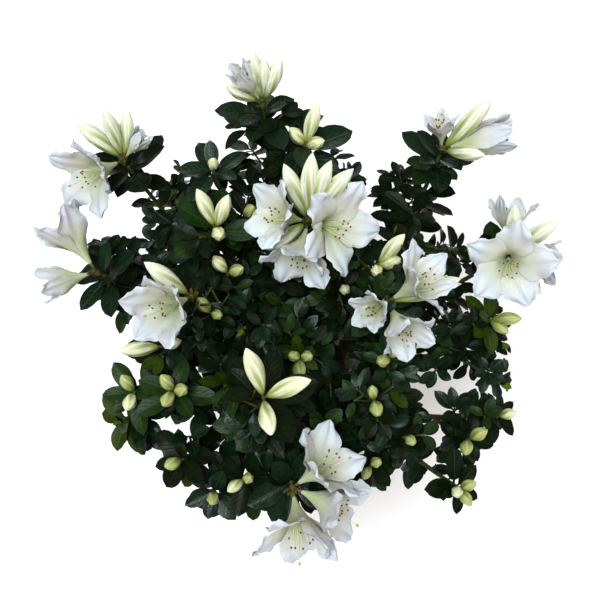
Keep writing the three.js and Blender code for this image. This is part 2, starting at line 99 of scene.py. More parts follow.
# The radii of each kind of limb, at its foot and at its tip.
LIMB_RADII = {"lead_bough": (4.2, 2.5), "side_bough": (3.1, 2.3), "lead_stem": (2.5, 1.4), "side_stem": (2.0, 1.4),
              "twig": (1.15, 0.7)}

# Growth that only this script has. Whorls: how much larger the leaves about a shoot's end are, by what it carries,
# and how far below a truss its two whorls stand. Sight: where a leaf would hide the buds of another shoot, above
# its tip and beside its axis, and how near to the tip a leaf is the shoot's own. Masses less leafy than the limit
# have no twigs on the outer part of their stems. Tones: up to which draw a spray has each of the first three of
# the leaf materials.
BARE_LEAFINESS, BARE_BELOW_TRUSS = 0.6, 0.45
WHORL_SIZES = {"cluster": 1.5, "truss": 1.34, "small": 1.08, "leaves": 1.08, "second": 1.22}
WHORL_DROPS = (3.0, 10.0)
BUD_SIGHT = {"above": (5, 45), "beside": 11, "own": 9}
TONE_DRAWS = (0.46, 0.78, 0.975)
OLIVE, YOUNG, UNDERSIDE = 3, 4, 5

# The masses: name, lead, how leafy, the size of leaves, then the bearing, reach and height of each shoot's
# tip with what stands on it and its number.
MASSES = [
    ("back", "", 0.75, 0.9, (102, 122, 381, "truss"), (86, 97, 364, "cluster")),
    ("left_back", "", 0.4, 0.95, (144.5, 164, 342, "truss")),
    ("left_front", "", 0.5, 0.95, (213, 144, 300, "small", 2), (214, 162, 268), (223, 121, 315, "small", 3)),
    ("front", "", 0.6, 0.95, (269, 147, 302, "truss"), (255, 145, 285, "small", 2)),
    ("front_right", "", 0.5, 0.78, (308, 189, 298, "small", 3)),
    ("right", "", 0.5, 0.85, (7, 159, 332, "truss")),
    ("top", "", 4.8, 0.72, (72, 28, 368, "truss"), (273, 60, 325, "small", 3), (348, 36, 332, "small"),
     (222, 52, 318)),
    ("back_left", "back", 0.55, 0.98, (130, 97, 365, "small"), (141, 120, 305)),
    ("back_low", "back", 1.1, 0.78, (96, 160, 282), (70, 150, 250)),
    ("left", "left_back", 1.1, 0.9, (175, 153, 313, "truss")),
    ("left_upper", "left_back", 2.2, 0.85, (153, 67, 355, "cluster"), (128, 62, 340, "small")),
    ("left_back_low", "left_back", 1.1, 0.8, (131, 165, 262), (160, 150, 240)),
    ("left_low", "left_front", 1.2, 0.8, (204, 110, 308, "cluster")),
    ("left_inner", "left_front", 3.0, 0.72, (196, 78, 343, "truss"), (176, 51, 335, "small", 2), (236, 92, 306),
     (203.5, 68, 330, "small", 2)),
    ("front_left", "front", 0.6, 0.9, (236, 151, 285, "small"), (247, 159, 268, "small")),
    ("front_upper", "front", 2.0, 0.85, (258, 103, 363, "cluster"), (284, 104, 308)),
    ("front_right_inner", "front_right", 2.1, 0.7, (305, 138, 303, "small"), (293, 141, 285, "small", 2)),
    ("right_front_inner", "front_right", 3.4, 0.7, (317, 91, 330, "small", 2), (301, 107, 325, "small", 2)),
    ("right_front", "front_right", 0.7, 0.7, (330, 180, 275, "small"), (320, 170, 280, "small", 2)),
    ("right_low", "right", 0.8, 0.62, (349, 148, 320, "cluster"), (348, 162, 280), (339, 171, 272)),
    ("right_back", "right", 0.35, 0.92, (41, 148, 352, "truss")),
    ("right_back_low", "right", 1.1, 0.76, (52, 165, 265), (26, 160, 245)),
    ("right_inner", "right", 3.6, 0.7, (337, 70, 348, "truss"), (6, 60, 343, "cluster"), (24, 84, 330),
     (340, 86, 300)),
]

# Shoots whose leaves are young and olive: a mass and the number of its stem.
YOUNG_SHOOTS = {("left_front", 1), ("right_low", 0)}

# What stands in each truss: kind, bearing and rise of its axis, and its share of the full size.
TRUSSES = {
    "back": [("bud", 113, 63, 0.9), ("opening", 150, 58, 0.62), ("bud", 68, 70, 0.8), ("bud", 36, 60, 0.85),
             ("bud", 162, 16, 0.65)],
    "left_back": [("funnel", 230, 26, 0.98), ("bud", 150, 38, 1), ("bud", 112, 57, 0.95), ("bud", 72, 46, 0.85),
                  ("opening", 36, 38, 0.52)],
    "left": [("half", 128, 30, 1), ("opening", 202, 8, 0.76)],
    "left_inner": [("half", 233, 46, 0.98), ("bud", 156, 44, 0.95)],
    "front": [("funnel", 26, 42, 0.95), ("funnel", 334, 16, 0.98), ("open", 280, 18, 1)],
    "right": [("open", 252, 46, 0.92), ("half", 86, 30, 0.76), ("half", 344, 6, 0.7), ("bud", 88, 58, 0.9),
              ("bud", 22, 40, 0.95), ("bud", 310, -16, 0.85)],
    "right_back": [("half", 106, 60, 0.54), ("bud", 32, 42, 1.15), ("opening", 2, 24, 0.94), ("bud", 328, 30, 0.8)],
    "right_inner": [("funnel", 13, 44, 0.92), ("half", 290, 18, 0.78), ("half", 226, 40, 0.6), ("bud", 14, 10, 1.2)],
    "top": [("open", 320, 38, 0.92), ("funnel", 194, 38, 0.8), ("funnel", 258, 4, 0.86), ("bud", 126, 50, 1),
            ("bud", 90, 52, 1.1), ("bud", 64, 50, 1.05), ("bud", 40, 42, 1.1), ("bud", 226, 14, 0.92)],
}

# The buds of each cluster: large, small, or large and still green, the bearing and rise of its axis, and its
# share of the full size.
CLUSTERS = {
    "back": [("large", 66, 54, 0.76), ("small", 138, 42, 1.15), ("small", 357, 38, 1.1)],
    "left_upper": [("large", 120, 58, 0.76), ("large", 42, 58, 0.7), ("small", 296, 38, 1.15)],
    "left_low": [("large", 198, 28, 0.76), ("small", 5, 30, 1)],
    "front_upper": [("large", 111, 56, 0.95), ("large", 10, 42, 0.88), ("large", 280, 30, 0.78)],
    "right_low": [("green", 345, 42, 0.56), ("green", 310, 24, 0.42)],
    "right_inner": [("large", 36, 46, 0.7), ("small", 0, 30, 1.2), ("small", 265, 40, 1)],
}

# The sides of the crown, for splitting the leaves into pieces.
SIDES = ("back", "left_back", "left_front", "front", "front_right", "right", "top")


def length_setting(name, description, default):
    return FloatProperty(name=name, description=description, default=default, unit="LENGTH")


def angle_setting(name, description, degrees):
    return FloatProperty(name=name, description=description, default=math.radians(degrees), subtype="ANGLE")


def count_setting(name, description, default, least=0):
    return IntProperty(name=name, description=description, default=default, min=least)


def colour_setting(name, description, *default):
    return FloatVectorProperty(name=name, description=description, subtype="COLOR", size=4, default=(*default, 1))


class PotSettings(bpy.types.PropertyGroup):
    height: length_setting("Height", "Height of the pot", 0.15)
    top_radius: length_setting("Top radius", "Outer radius of the rim", 0.082)
    foot_radius: length_setting("Foot radius", "Radius of the underside", 0.057)
    rim_height: length_setting("Rim height", "Height of the proud rim", 0.03)
    steps: count_setting("Steps", "Steps round the pot", 96, 12)
    clay: colour_setting("Clay", "Colour of the fired clay", 0.42, 0.145, 0.065)


class CompostSettings(bpy.types.PropertyGroup):
    crumbs: count_setting("Crumbs", "Loose crumbs on the surface", 900)
    crumb_size: length_setting("Crumb size", "Size of the largest crumb", 0.0026)
    peat: colour_setting("Peat", "Colour of the damp compost", 0.02, 0.011, 0.007)


class WoodSettings(bpy.types.PropertyGroup):
    relief: length_setting("Relief", "Depth of the bark's furrows", 0.0006)
    bark: colour_setting("Bark", "Colour of old bark", 0.085, 0.052, 0.034)
    green_wood: colour_setting("Green wood", "Colour of young stems", 0.085, 0.098, 0.022)


class BloomSettings(bpy.types.PropertyGroup):
    tube: length_setting("Tube", "Length of a flower's tube and stalk", 0.023)
    throat: length_setting("Throat", "Radius of the throat", 0.0065)
    limb: length_setting("Limb", "Length of a petal past the throat", 0.036)
    petal_width: length_setting("Petal width", "Widest part of a petal", 0.0285)
    ruffle: length_setting("Ruffle", "How far petal edges wave", 0.0026)
    open_lean: angle_setting("Open lean", "Lean of an open flower's petals", 57)
    funnel_lean: angle_setting("Funnel lean", "Lean of a funnel's petals", 43)
    half_lean: angle_setting("Half-open lean", "Lean of a half-open flower's petals", 27)
    opening_lean: angle_setting("Opening lean", "Lean of an opening flower's petals", 11)
    stamens: count_setting("Stamens", "Stamens in a flower", 9)
    bud_length: length_setting("Bud length", "Length of a large bud", 0.046)
    bud_radius: length_setting("Bud radius", "Radius of a large bud", 0.0066)
    # The petals' bluish cast is painted skylight, not a colour of the petals themselves.
    petal: colour_setting("Petal", "Colour of the petals", 0.545, 0.58, 0.615)
    throat_green: colour_setting("Throat green", "Colour of the throat", 0.46, 0.53, 0.19)


class FoliageSettings(bpy.types.PropertyGroup):
    spacing: length_setting("Twig spacing", "Stem between twigs", 0.0105)
    twig: length_setting("Twig length", "Length of a twig at its stem's foot", 0.036)
    leaf: length_setting("Leaf length", "Length of a full leaf", 0.0275)
    leaf_width: length_setting("Leaf width", "Width of a full leaf", 0.0136)
    fold: length_setting("Fold", "How far a leaf's sides rise", 0.0016)
    droop: length_setting("Droop", "How far a leaf's tip falls", 0.003)
    leaves: count_setting("Leaves", "Leaves in a rosette", 7, 1)
    bud_length: length_setting("Small bud", "Length of a small bud", 0.0165)
    bud_radius: length_setting("Small bud radius", "Radius of a small bud", 0.0045)
    leaf_green: colour_setting("Leaf green", "Colour of most leaves", 0.0052, 0.0118, 0.0028)


class StageSettings(bpy.types.PropertyGroup):
    distance: length_setting("Distance", "Camera to the crown's middle", 0.6)
    elevation: angle_setting("Elevation", "Camera above the level", 66)
    aim: length_setting("Aim height", "Height that the camera aims at", 0.3)
    lens: FloatProperty(name="Lens", description="Focal length", default=46.4, unit="CAMERA")
    floor: length_setting("Floor", "Width of the floor", 8.0)
    light: FloatProperty(name="Light", description="Power of the main light", default=9.0, unit="POWER")


# Vectors and curves.


def unit(vector):
    return vector / np.linalg.norm(vector)


def place(bearing, reach, height):
    turn = math.radians(bearing)
    return np.array([reach * math.cos(turn), reach * math.sin(turn), height])


def heading(bearing, rise):
    climb = math.radians(rise)
    return place(bearing, math.cos(climb), math.sin(climb))


def smooth(low, high, value):
    share = np.clip((value - low) / (high - low), 0.0, 1.0)
    return share * share * (3.0 - 2.0 * share)


def between(ends, share):
    return ends[0] + (ends[1] - ends[0]) * share


def turns_of(sides):
    """The angles of the corners of a ring."""
    return np.linspace(0.0, CIRCLE, sides, endpoint=False)


def side_of(direction):
    reference = np.array([1.0, 0.0, 0.0]) if abs(direction[2]) > 0.95 else UP
    return unit(np.cross(reference, direction))


def turned(vector, axis, degrees):
    turn = math.radians(degrees)
    across = np.cross(axis, vector)
    along = axis * np.dot(axis, vector)
    return vector * math.cos(turn) + across * math.sin(turn) + along * (1.0 - math.cos(turn))


def leaving(axis, pitch, turn):
    """A direction that leaves an axis by a pitch, at a turn about it."""
    side = turned(side_of(axis), axis, turn)
    return turned(axis, side, pitch)


class Random:
    """The repeatable run of numbers from 0 to 1 that the part's source draws."""

    def __init__(self, seed):
        self.state = 7919 * seed

    def __call__(self):
        self.state = self.state * 16807 % 2147483647
        return self.state / 2147483647

    def swing(self):
        return SWING[0] + SWING[1] * self()

    def between(self, low, high):
        return between((low, high), self())


class Curve:
    """A quadratic curve, or a stretch of it, measured along its length."""

    def __init__(self, foot, middle, tip, start=0.0, stop=1.0):
        share = np.linspace(start, stop, 49)[:, None]
        self.points = (1 - share) ** 2 * foot + 2 * share * (1 - share) * middle + share**2 * tip
        steps = np.linalg.norm(np.diff(self.points, axis=0), axis=1)
        self.marks = np.concatenate([[0.0], np.cumsum(steps)])
        self.length = self.marks[-1]
        self.ends = (foot, middle, tip)

    def at(self, share):
        mark = np.clip(share, 0.0, 1.0) * self.length
        return np.stack([np.interp(mark, self.marks, column) for column in self.points.T], axis=-1)

    def tangent(self, share):
        return unit(self.at(min(1.0, share + 0.02)) - self.at(max(0.0, share - 0.02)))

    def stretch(self, start, stop):
        return Curve(*self.ends, start, stop)


def limb_curve(foot, tip):
    across = tip - foot
    bow = BOW * np.linalg.norm(across)
    level = unit(np.array([across[0], across[1], 0.0]))
    return Curve(foot, (foot + tip) / 2 + bow * level - bow * UP, tip)


def trunk_axis(height):
    share = (height - COMPOST_TOP) / (TRUNK_TOP - COMPOST_TOP)
    return place(TRUNK_LEAN_BEARING, TRUNK_LEAN * share, height)


class Mass:
    """One mass of foliage: its bough, its stems and what stands on their tips."""

    def __init__(self, name, lead, leafy, leaf_size, *shoots):
        self.name, self.lead, self.leafy, self.leaf_size = name, lead, leafy, leaf_size
        shoots = [(*shoot, "leaves", 1)[:5] if len(shoot) == 3 else (*shoot, 1)[:5] for shoot in shoots]
        self.tips = [place(*shoot[:3]) for shoot in shoots]
        self.carries, self.counts = zip(*(shoot[3:] for shoot in shoots))
        self.side = lead or name

    def grow(self, masses):
        peers = [other.name for other in masses if other.lead == self.lead]
        order = peers.index(self.name)
        if self.lead:
            share = SIDE_SHARES[0] + (SIDE_SHARES[1] - SIDE_SHARES[0]) * order / max(1, len(peers) - 1)
            foot = next(other for other in masses if other.name == self.lead).bough.at(share)
        else:
            drop = CROTCH["spread"] * ((order * CROTCH["stride"]) % len(peers)) / len(peers)
            foot = trunk_axis(TRUNK_TOP - 1 if self.name == "top" else TRUNK_TOP - CROTCH["below"] - drop)
        whole = limb_curve(foot, self.tips[0])
        self.bough, stem = whole.stretch(0.0, BOUGH_SHARE), whole.stretch(BOUGH_SHARE, 1.0)
        self.stems = [stem] + [limb_curve(stem.at(FORK_STEP * index), tip)
                               for index, tip in enumerate(self.tips[1:], 1)]
        self.axes = [stem.tangent(1.0) for stem in self.stems]
        self.sites = np.array([stem.at(share) for stem in self.stems for share in SPACE_SHARES])


@functools.lru_cache
def crown():
    masses = [Mass(*row) for row in MASSES]
    for each in masses:
        each.grow(masses)
    return masses


# Mesh building.


class Heap:
    """Many small shapes of one kind, joined as one mesh."""

    def __init__(self):
        self.shapes, self.count = [], 0

    def add(self, vertices, faces, maps, slots=0):
        """Vertices in millimetres, faces of four corners (a triangle repeats its last), their UVs and slots."""
        self.shapes.append((vertices, faces + self.count, maps, np.broadcast_to(slots, len(faces))))
        self.count += len(vertices)

    def piece(self, name, materials, sharp=True):
        """Makes the mesh. Edges between two slots of one shape are sharp."""
        vertices, faces, maps, slots = map(np.concatenate, zip(*self.shapes))
        keep = np.ones(faces.shape, bool)
        keep[:, 3] = faces[:, 2] != faces[:, 3]
        sizes = keep.sum(axis=1)
        mesh = bpy.data.meshes.new(name)
        mesh.vertices.add(len(vertices))
        mesh.vertices.foreach_set("co", (vertices * MM).astype(np.float32).ravel())
        mesh.loops.add(int(sizes.sum()))
        mesh.loops.foreach_set("vertex_index", faces[keep].astype(np.int32))
        mesh.polygons.add(len(faces))
        starts = np.cumsum(sizes) - sizes
        for key, values in (("loop_start", starts), ("loop_total", sizes), ("material_index", slots)):
            mesh.polygons.foreach_set(key, values.astype(np.int32))
        mesh.shade_smooth()
        mesh.uv_layers.new(name="UVMap").data.foreach_set("uv", maps[keep].astype(np.float32).ravel())
        mesh.update(calc_edges=True)
        mesh.validate()
        if sharp:
            mark_edges(mesh, lambda edge: len({face.material_index for face in edge.link_faces}) < 2)
        return show(name, mesh, materials)


def mark_edges(mesh, is_smooth):
    """Smooths the faces and marks as sharp the edges that aren't smooth."""
    work = bmesh.new()
    work.from_mesh(mesh)
    for face in work.faces:
        face.smooth = True
    for edge in work.edges:
        edge.smooth = is_smooth(edge)
    work.to_mesh(mesh)
    work.free()


def show(name, mesh, materials=()):
    piece = bpy.data.objects.new(name, mesh)
    for material in materials:
        mesh.materials.append(material)
    bpy.context.scene.collection.objects.link(piece)
    return piece


def join_frame(piece, nodes):
    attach(piece, "root")
    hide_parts(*nodes)


def columns(*arrays):
    return np.stack(arrays, axis=1)


@functools.lru_cache
def tube_faces(rings, sides):
    """Faces and UVs of a closed tube: rings of vertices, then a pole at its foot and one at its tip."""
    ring, side = (grid.ravel() for grid in np.meshgrid(np.arange(rings - 1), np.arange(sides), indexing="ij"))
    after, above = (side + 1) % sides, ring + 1
    faces = columns(ring * sides + side, ring * sides + after, above * sides + after, above * sides + side)
    low, high, left, right = ring / (rings - 1), above / (rings - 1), side / sides, (side + 1) / sides
    maps = columns(columns(low, left), columns(low, right), columns(high, right), columns(high, left))
    side = np.arange(sides)
    after, base = (side + 1) % sides, (rings - 1) * sides
    foot, tip = np.full(sides, rings * sides), np.full(sides, rings * sides + 1)
    ends = [columns(after, side, foot, foot), columns(base + side, base + after, tip, tip)]
    around = columns(side / sides, (side + 1) / sides, (side + 0.5) / sides, (side + 0.5) / sides)
    end_maps = [np.stack([np.full((sides, 4), along), around], axis=2) for along in (0.0, 1.0)]
    return np.concatenate([faces, *ends]), np.concatenate([maps, *end_maps])


def tube(points, radii, sides, relief=None):
    """Vertices of a closed tube along points. Relief holds what is added to each ring's radii."""
    tangents = np.gradient(points, axis=0)
    tangents /= np.linalg.norm(tangents, axis=1)[:, None]
    turns = turns_of(sides)[:, None]
    side = side_of(tangents[0])
    rings = []
    for i, (point, tangent) in enumerate(zip(points, tangents)):
        side = unit(side - tangent * np.dot(side, tangent))
        radius = np.full(sides, radii[i]) if relief is None else radii[i] + relief[i]
        rings.append(point + radius[:, None] * (np.cos(turns) * side + np.sin(turns) * np.cross(tangent, side)))
    poles = [points[0] - tangents[0] * radii[0] * 0.25, points[-1] + tangents[-1] * radii[-1] * 0.6]
    return np.concatenate([*rings, poles])


def add_tube(heap, points, radii, sides, slots=0, relief=None):
    heap.add(tube(points, radii, sides, relief), *tube_faces(len(points), sides), slots)


@functools.lru_cache
def blade_faces(rows, across):
    """Faces, UVs, slots and the inner vertices of a thin closed blade with two sides that meet at its rim.

    The upper side is rows of across + 1 vertices and a tip. The lower side has only its inner vertices.
    """
    width, tip = across + 1, rows * (across + 1)
    upper = np.arange(tip).reshape(rows, width)
    inner = np.zeros((rows, width), bool)
    inner[1:, 1:-1] = True
    lower = upper.copy()
    lower[inner] = tip + 1 + np.arange(inner.sum())
    row, column = (grid.ravel() for grid in np.meshgrid(np.arange(rows - 1), np.arange(across), indexing="ij"))
    last, end = np.arange(across), np.full(across, rows - 1)

    def mapped(*corners):
        return columns(*(columns(r / rows, c / across) for r, c in corners))

    maps = mapped((row, column), (row + 1, column), (row + 1, column + 1), (row, column + 1))
    fan_maps = mapped((end, last), (end + 1, last + 0.5), (end, last + 1), (end, last + 1))
    quads, fans = [], []
    for grid in (upper, lower):
        quads.append(columns(grid[row, column], grid[row + 1, column], grid[row + 1, column + 1],
                             grid[row, column + 1]))
        fans.append(columns(grid[-1, last], np.full(across, tip), grid[-1, last + 1], grid[-1, last + 1]))
    back = [2, 1, 0, 0]
    faces = np.concatenate([quads[0], fans[0], quads[1][:, ::-1], fans[1][:, back]])
    all_maps = np.concatenate([maps, fan_maps, maps[:, ::-1], fan_maps[:, back]])
    return faces, all_maps, np.repeat([0, 1], len(row) + across), inner


def blade(grid, thickness):
    """Vertices of a blade whose upper side is a grid of rows + 1 by columns + 1 points, the last row its tip."""
    inner = blade_faces(grid.shape[0] - 1, grid.shape[1] - 1)[3]
    normals = np.cross(np.gradient(grid, axis=0), np.gradient(grid, axis=1))
    normals /= np.linalg.norm(normals, axis=2)[:, :, None] + 1e-9
    lower = grid[:-1][inner] - thickness * normals[:-1][inner]
    return np.concatenate([grid[:-1].reshape(-1, 3), grid[-1:, grid.shape[1] // 2], lower])


def tree_of(vertices, faces):
    corners = [face[:3] if face[2] == face[3] else face for face in faces.tolist()]
    return BVHTree.FromPolygons(vertices.tolist(), corners)


class Neighbours:
    """Small shapes already placed, so that the next one can be tested against those near it."""

    def __init__(self, fixed=()):
        self.middles, self.radii, self.trees, self.fixed = np.zeros((0, 3)), np.zeros(0), [], fixed

    def ball(self, vertices):
        middle = vertices.mean(axis=0)
        return middle, np.linalg.norm(vertices - middle, axis=1).max()

    def add(self, vertices, tree):
        middle, radius = self.ball(vertices)
        self.middles = np.vstack([self.middles, middle])
        self.radii = np.append(self.radii, radius)
        self.trees.append(tree)

    def is_clear(self, vertices, tree):
        middle, radius = self.ball(vertices)
        near = np.nonzero(np.linalg.norm(self.middles - middle, axis=1) < self.radii + radius)[0]
        return not any(other.overlap(tree) for other in [*self.fixed, *(self.trees[i] for i in near)])


# Materials.


class Value:
    """What a node puts out. Arithmetic with it adds math nodes."""

    def __init__(self, nodes, socket):
        self.nodes, self.socket = nodes, socket

    def __add__(self, other):
        return self.nodes.math("ADD", self, other)

    def __sub__(self, other):
        return self.nodes.math("SUBTRACT", self, other)

    def __rsub__(self, other):
        return self.nodes.math("SUBTRACT", other, self)

    def __mul__(self, other):
        return self.nodes.math("MULTIPLY", self, other)

    def __abs__(self):
        return self.nodes.math("ABSOLUTE", self)


class Nodes:
    """Adds nodes to a tree."""

    def __init__(self, tree):
        self.tree = tree

    def put(self, socket, value):
        """Links what a node puts out, and sets any other value on the socket."""
        if isinstance(value, Value):
            self.tree.links.new(value.socket, socket)
        else:
            socket.default_value = value

    def add(self, kind, inputs=(), output=0, **settings):
        node = self.tree.nodes.new(kind)
        for key, value in settings.items():
            setattr(node, key, value)
        for key, value in dict(inputs).items():
            self.put(node.inputs[key], value)
        return Value(self, node.outputs[output])

    def math(self, operation, first, second=0.0):
        return self.add("ShaderNodeMath", {0: first, 1: second}, operation=operation)

    def ramp(self, value, low, high):
        """0 below low and 1 above high, smoothly."""
        inputs = {"Value": value, "From Min": low, "From Max": high}
        return self.add("ShaderNodeMapRange", inputs, interpolation_type="SMOOTHSTEP")

    def mix(self, share, first, second):
        return self.add("ShaderNodeMix", {0: share, 6: first, 7: second}, 2, data_type="RGBA")

    def noise(self, scale, detail=3.0):
        inputs = {"Scale": scale, "Detail": detail, "Roughness": 0.55, "Vector": self.coordinates("Object")}
        return self.add("ShaderNodeTexNoise", inputs, "Fac")

    def coordinates(self, kind):
        return self.add("ShaderNodeTexCoord", output=kind)

    def parts(self, kind):
        """The X, Y and Z of a coordinate."""
        outputs = self.add("ShaderNodeSeparateXYZ", {"Vector": self.coordinates(kind)}).socket.node.outputs
        return [Value(self, socket) for socket in outputs]

    def bump(self, height, strength, distance, normal=None):
        inputs = {"Height": height, "Strength": strength, "Distance": distance}
        return self.add("ShaderNodeBump", inputs | ({"Normal": normal} if normal else {}))

    def group(self, tree, **inputs):
        outputs = self.add("ShaderNodeGroup", inputs, node_tree=tree).socket.node.outputs
        return {socket.name: Value(self, socket) for socket in outputs}

    def mottle(self, first, second, scale, grain, relief):
        return self.group(mottle_group(), First=first, Second=second, Scale=scale, Grain=grain, Relief=relief)


class Surface(Nodes):
    """A new material and its shader, whose sockets are set or linked by name."""

    def __init__(self, name, **values):
        self.material = bpy.data.materials.new(name)
        self.material.use_nodes = True
        super().__init__(self.material.node_tree)
        self.wire(**values)

    def wire(self, **values):
        for key, value in values.items():
            self.put(self.tree.nodes["Principled BSDF"].inputs[key.replace("_", " ")], value)
        return self.material


SOCKET_KINDS = {"First": "Color", "Second": "Color", "Colour": "Color", "Normal": "Vector"}


def new_group(name, build, **given):
    """A node group with named inputs and their values. Build makes its nodes and returns what it puts out."""
    tree = bpy.data.node_groups.new(name, "ShaderNodeTree")

    def socket(label, way):
        kind = f"NodeSocket{SOCKET_KINDS.get(label, 'Float')}"
        return tree.interface.new_socket(label, in_out=way, socket_type=kind)

    for label, value in given.items():
        socket(label, "INPUT").default_value = value
    nodes = Nodes(tree)
    outputs = nodes.add("NodeGroupInput").socket.node.outputs
    made = build(nodes, *(Value(nodes, outputs[label]) for label in given))
    for label in made:
        socket(label, "OUTPUT")
    result = tree.nodes.new("NodeGroupOutput")
    for label, value in made.items():
        nodes.put(result.inputs[label], value)
    return tree


@functools.lru_cache
def mottle_group():
    """Two colours mottled by noise, with a fine relief."""
    grey = (0.5, 0.5, 0.5, 1)

    def build(nodes, first, second, scale, grain, relief):
        mask = nodes.ramp(nodes.noise(scale, 4.0), 0.36, 0.66)
        fine = nodes.noise(grain, 2.0)
        return {"Colour": nodes.mix(mask, first, second), "Mask": mask, "Normal": nodes.bump(fine, relief, 0.0006)}

    return new_group("Mottle", build, First=grey, Second=grey, Scale=40.0, Grain=900.0, Relief=0.3)


@functools.lru_cache
def veins_group():
    """The midrib and side veins of a leaf, from its UVs: U along it and V across it."""

    def build(nodes, count, slant):
        u, v, _ = nodes.parts("UV")
        across = abs(v - 0.5) * 2.0
        midrib = 1.0 - nodes.ramp(across, 0.03, 0.13)
        along = u * count - across * slant
        wave = abs(nodes.math("FRACT", along) - 0.5)
        veins = (1.0 - nodes.ramp(wave, 0.02, 0.13)) * (1.0 - nodes.ramp(across, 0.55, 0.95))
        return {"Midrib": midrib, "Veins": veins, "Height": 1.0 - nodes.math("MAXIMUM", midrib, veins * 0.6)}

    return new_group("Leaf Veins", build, Count=7.0, Slant=2.2)


@functools.lru_cache
def folds_group():
    """The folds of a bud's five petals, from its UVs: U along it and V around it."""

    def build(nodes, petals, twist):
        u, v, _ = nodes.parts("UV")
        fold = nodes.math("FRACT", v * petals + u * twist)
        seam = nodes.math("MINIMUM", fold, 1.0 - fold)
        # The seam mask marks the grooves between petals, where the bud's material paints shade.
        return {"Along": u, "Stripe": 1.0 - nodes.ramp(abs(fold - 0.45), 0.06, 0.36),
                "Seam": 1.0 - nodes.ramp(seam, 0.0, 0.07)}

    return new_group("Bud Folds", build, Petals=5.0, Twist=0.6)


def tinted(color, factor):
    return (*(min(1.0, channel * share) for channel, share in zip(color[:3], factor)), 1.0)


def clay_material(clay):
    nodes = Surface("Fired Clay", Roughness=0.88, IOR=1.45)
    mottle = nodes.mottle(clay, tinted(clay, (0.78, 0.72, 0.68)), 26.0, 1500.0, 0.35)
    salts = nodes.ramp(nodes.noise(9.0, 5.0), 0.58, 0.78) * 0.35
    rings = nodes.math("SINE", nodes.parts("Object")[2] * 2100.0)
    return nodes.wire(Base_Color=nodes.mix(salts, mottle["Colour"], (0.62, 0.42, 0.31, 1)),
                      Normal=nodes.bump(rings, 0.12, 0.0004, mottle["Normal"]))


def plain_material(name, first, second, roughness, scale=300.0, grain=1600.0, relief=0.25):
    """A lightly mottled colour."""
    nodes = Surface(name, Roughness=roughness)
    mottle = nodes.mottle(first, second, scale, grain, relief)
    return nodes.wire(Base_Color=mottle["Colour"], Normal=mottle["Normal"])


def bark_material(name, first, second, roughness):
    nodes = Surface(name, Roughness=roughness)
    mottle = nodes.mottle(first, second, 170.0, 900.0, 0.5)
    lichen = nodes.ramp(nodes.noise(60.0, 4.0), 0.62, 0.8) * 0.4
    return nodes.wire(Base_Color=nodes.mix(lichen, mottle["Colour"], tinted(first, (2.2, 2.1, 1.9))),
                      Normal=mottle["Normal"])


def leaf_material(name, green, roughness, gloss):
    nodes = Surface(name, IOR=1.45, Specular_IOR_Level=gloss)
    veins = nodes.group(veins_group(), Count=7.0, Slant=2.2)
    blotch = nodes.ramp(nodes.noise(190.0), 0.35, 0.7)
    shades = [tinted(green, factor) for factor in ((1.5, 1.4, 1.3), (1.6, 1.6, 1.6), (2.6, 2.4, 1.6))]
    colour = nodes.mix(blotch, green, shades[0])
    colour = nodes.mix(veins["Veins"] * 0.35, colour, shades[1])
    colour = nodes.mix(veins["Midrib"] * 0.5, colour, shades[2])
    normal = nodes.bump(nodes.noise(1300.0, 2.0), 0.12, 0.0003, nodes.bump(veins["Height"], 0.45, 0.0004))
    satin = nodes.add("ShaderNodeMapRange", {"Value": blotch, "To Min": roughness - 0.06, "To Max": roughness + 0.1})
    return nodes.wire(Base_Color=colour, Normal=normal, Roughness=satin)


def petal_material(name, petal, throat, reach, strength):
    """White, with green that fades out from the throat along the petal's middle, and painted warm shade towards the
    throat that fades to the petal colour's painted bluish skylight towards the tip.
    """
    nodes = Surface(name, Roughness=0.5, Subsurface_Weight=0.12, Subsurface_Scale=0.003)
    u, v, _ = nodes.parts("UV")
    from_throat = 1.0 - nodes.ramp(u, 0.1, reach)
    middle = 1.0 - nodes.ramp(abs(v - 0.5), 0.05, 0.4)
    tint = from_throat * (middle * 0.6 + 0.4) * strength
    # Painted shade and light: a warm grey towards the throat, fading to the bluish petal colour, painted skylight,
    # towards the tip.
    painted_shade_to_sky = nodes.ramp(nodes.ramp(u, 0.5, 1.0) + nodes.noise(38.0, 2.0) * 0.5, 0.1, 0.95)
    white = nodes.mix(painted_shade_to_sky, tinted(petal, (1.03, 0.965, 0.86)), petal)
    lines = nodes.bump(nodes.math("SINE", v * 95.0), 0.16, 0.00025)
    return nodes.wire(Base_Color=nodes.mix(tint, white, throat),
                      Normal=nodes.bump(nodes.noise(500.0), 0.15, 0.0003, lines))


def bud_material(name, cream, green, reach):
    """Cream, with a green foot and a green stripe along the middle of each folded petal, and painted shade darkening
    the seams between the petals.
    """
    nodes = Surface(name, Roughness=0.42, Subsurface_Weight=0.1, Subsurface_Scale=0.002)
    folds = nodes.group(folds_group(), Petals=5.0, Twist=0.6)
    foot = 1.0 - nodes.ramp(folds["Along"], 0.05, reach)
    stripe = folds["Stripe"] * (1.0 - nodes.ramp(folds["Along"], 0.3, 0.95))
    colour = nodes.mix(nodes.math("MAXIMUM", foot, stripe * 0.95), (*cream, 1), (*green, 1))
    # Painted shade: the seams between the folded petals are darkened.
    colour = nodes.mix(folds["Seam"] * 0.5, colour, tinted(cream, (0.72, 0.72, 0.62)))
    return nodes.wire(Base_Color=colour, Normal=nodes.bump(nodes.noise(420.0), 0.2, 0.0003))


# The pot, compost and wood.


